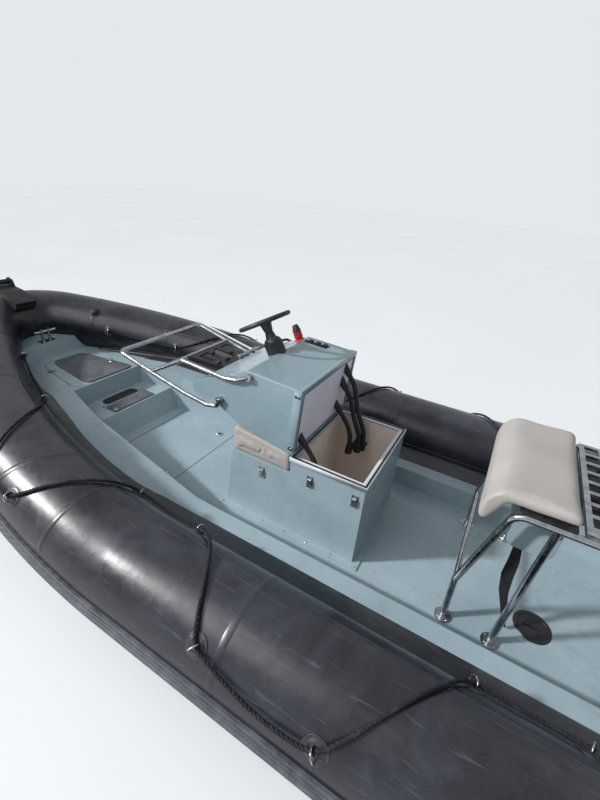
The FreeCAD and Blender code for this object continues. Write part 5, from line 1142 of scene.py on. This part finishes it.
SEAT_FEET = [
    # x, half spread of the bolted feet
    (-1.126, 0.378), (-1.355, 0.388),
]
FOOT_BOLT_CIRCLE = 0.031
HATCH_LATCHES = ((0.858, 0.372), (0.858, -0.237))
PADS = [
    # piece, slot, body, corner radius, bottom, top, bevel, outline in plan
    ("anchor_lid_pad", "pad_grey", "anchor_lid_body", 0.070, 0.4402, 0.4485, 0.0025,
     [(1.896, 0.186), (1.896, -0.282), (2.494, -0.184), (2.494, 0.108)]),
    ("step_lid_pad", "pad_grey", "step_lid_body", 0.012, 0.2952, 0.3020, 0.002,
     [(1.561, 0.198), (1.561, -0.198), (1.684, -0.198), (1.684, 0.198)]),
    # Painted shade: a thin black sheet on the tread stands in for the shaded recess forward of the
    # step lid.
    ("step_recess_painted_shade", "black_rubber", "boat", 0.045, 0.2948, 0.2962, 0.0006,
     [(1.7135, 0.172), (1.7135, -0.172), (1.806, -0.150), (1.806, 0.150)]),
]
KNOB_PLACE = Vector((2.112, -0.213, 0.4480))
KNOB = [
    # height, radius
    (0, 0.019), (0.003, 0.019), (0.005, 0.014), (0.012, 0.012), (0.018, 0.0165),
    (0.023, 0.0150), (0.025, 0),
]
STAPLES = [
    # centre x and y, half length and half width of the foot
    (1.589, 0.175, 0.017, 0.015), (1.663, -0.064, 0.013, 0.018),
]
STAPLE_EYE_HEIGHT = 0.3075
STAPLE_EYE_RADIUS = 0.011
STAPLE_WIRE = 0.0022


def slab(x, y, half_length, half_width, low, high, bevel):
    """A low box about a spot on the deck."""
    return moulded_box((x - half_length, y - half_width, low),
                       (x + half_length, y + half_width, high), bevel)


def make_deck_fittings():
    spots = []
    for x, y in SEAT_FEET:
        for side in (1, -1):
            for turn in (math.radians(45 + 90 * step) for step in range(4)):
                spots.append((x + FOOT_BOLT_CIRCLE * math.cos(turn),
                              side * y + FOOT_BOLT_CIRCLE * math.sin(turn)))
    joined("foot_bolts", bolts_at(spots), "stainless", "boat")
    latches = [slab(x, y, 0.026, 0.021, 0.1302, 0.1330, 0.001) for x, y in HATCH_LATCHES]
    pulls = [slab(x, y, 0.013, 0.009, 0.1328, 0.1334, 0.0002) for x, y in HATCH_LATCHES]
    joined("hatch_latches", latches, "stainless", "deck_hatch_body")
    joined("hatch_latch_pulls", pulls, "black_plastic", "deck_hatch_body")
    for name, slot_name, body, radius, low, high, bevel, outline in PADS:
        joined(name, [rounded_plate(outline, radius, low, high, bevel)], slot_name, body)
    joined("anchor_lid_knob", [lathe(KNOB_PLACE, Z, KNOB, 20)], "stainless", "anchor_lid_body")
    staples = [slab(*foot, 0.3018, 0.3060, 0.001) for foot in STAPLES]
    staples += [hoop(Vector((x, y, STAPLE_EYE_HEIGHT)), Y, STAPLE_EYE_RADIUS, STAPLE_WIRE)
                for x, y, half_length, half_width in STAPLES]
    joined("step_lid_staples", staples, "stainless", "step_lid_body")
    for lid in ("anchor_lid", "step_lid"):
        nodes[lid].data.materials[0] = finish["gelcoat_grey_blue"]


make_deck_fittings()


VALVES = [
    # distance forward of the transom, angle round the starboard tube
    (0.600, 128), (5.225, 128),
]
VALVE_PATCH_SCALE = 0.95
VALVE_FOOT = 0.004
VALVE_CAP = [
    # height, radius
    (0, 0.034), (0.006, 0.034), (0.009, 0.031), (0.012, 0.0275), (0.021, 0.0255),
    (0.0245, 0.021), (0.026, 0.012), (0.0262, 0),
]


def make_valves():
    """A round rubber patch and a domed cap over each inflation valve."""
    shapes = []
    for distance, angle in VALVES:
        shapes.append(tube_patch(distance, angle, -1, VALVE_PATCH_SCALE))
        shapes.append(lathe(*on_tube(distance, angle, VALVE_FOOT, -1), VALVE_CAP, 26))
    joined("valve_caps", shapes, "black_rubber", "boat")


make_valves()


INSTRUMENT_RUN = 0.162
INSTRUMENT_HEAD = (
    (INSTRUMENT_RUN - 0.016, -0.330, 1.0045),
    (INSTRUMENT_RUN + 0.004, 0.070, 1.0168),
)
INSTRUMENT_KNOBS = [
    # y, rise
    (0.012, 0.800), (-0.075, 0.800), (-0.075, 0.930), (-0.175, 0.850),
]
INSTRUMENT_KNOB = [
    # height, radius
    (0, 0.017), (0.004, 0.017), (0.012, 0.014), (0.016, 0.013), (0.0165, 0),
]


def make_instrument_trim():
    """A bright edge along the instrument frame's head and knobs on its windows."""
    joined("instrument_head", console_boxes([INSTRUMENT_HEAD], 0.002), "stainless", "console")
    knobs = [lathe(on_console((INSTRUMENT_RUN + 0.0002, y, rise)), AFT_NORMAL, INSTRUMENT_KNOB, 20)
             for y, rise in INSTRUMENT_KNOBS]
    joined("instrument_knobs", knobs, "black_plastic", "console")


make_instrument_trim()


# Plain pale stage, with the floor at the waterline

FLOOR_REACH = 40.0
SKY_COLOUR = (0.93, 0.965, 1.0, 1)
SKY_STRENGTH = 0.40
PLAIN_SHARE_IN_GLOSS = 0.45


def make_floor():
    floor_data = bpy.data.meshes.new("floor")
    corners = [(x * FLOOR_REACH, y * FLOOR_REACH, 0)
               for x, y in ((-1, -1), (1, -1), (1, 1), (-1, 1))]
    floor_data.from_pydata(corners, [], [(0, 1, 2, 3)])
    floor = new_object("floor", floor_data)
    paint = Finish("floor_paint", roughness=0.9, specular=0.1)
    cloud = paint.noise(0.4, 2, 0.5)
    paint.colour(paint.mix(paint.ramp(cloud, 0.3, 0.7), (226, 229, 231), (230, 232, 234)))
    floor_data.materials.append(paint.material)


def make_world():
    """Soft sky light; the camera sees a plain pale background instead."""
    world = bpy.data.worlds.new("studio")
    bpy.context.scene.world = world
    world.use_nodes = True
    tree = world.node_tree
    sky = tree.nodes["Background"]
    sky.inputs["Color"].default_value = SKY_COLOUR
    sky.inputs["Strength"].default_value = SKY_STRENGTH
    plain = tree.nodes.new("ShaderNodeBackground")
    plain.inputs["Color"].default_value = srgb(228, 231, 233)
    plain.inputs["Strength"].default_value = 1.0
    seen = tree.nodes.new("ShaderNodeLightPath")
    both = tree.nodes.new("ShaderNodeMixShader")
    bright = tree.nodes.new("ShaderNodeMath")
    bright.operation = "MULTIPLY_ADD"
    bright.use_clamp = True
    bright.inputs[1].default_value = PLAIN_SHARE_IN_GLOSS
    for source, target in ((seen.outputs["Is Glossy Ray"], bright.inputs[0]),
                           (seen.outputs["Is Camera Ray"], bright.inputs[2]),
                           (bright.outputs[0], both.inputs[0]), (sky.outputs[0], both.inputs[1]),
                           (plain.outputs[0], both.inputs[2]),
                           (both.outputs[0], tree.nodes["World Output"].inputs["Surface"])):
        tree.links.new(source, target)


def lamp(name, kind, place, target, energy, **settings):
    data = bpy.data.lights.new(name, kind)
    data.energy = energy
    for key, value in settings.items():
        setattr(data, key, value)
    piece = new_object(name, data)
    aim = (Vector(target) - Vector(place)).to_track_quat("-Z", "Y")
    piece.matrix_world = Matrix.Translation(place) @ aim.to_matrix().to_4x4()


make_floor()
make_world()
lamp("key", "SUN", (6.4, 4.7, 4.8), (0, 0, 0), 3.7, angle=math.radians(4))
lamp("softbox", "AREA", (2.5, 4.5, 5.5), (0, 0, 0.3), 130, shape="DISK", size=5.0)
bpy.context.scene.view_settings.view_transform = "Standard"
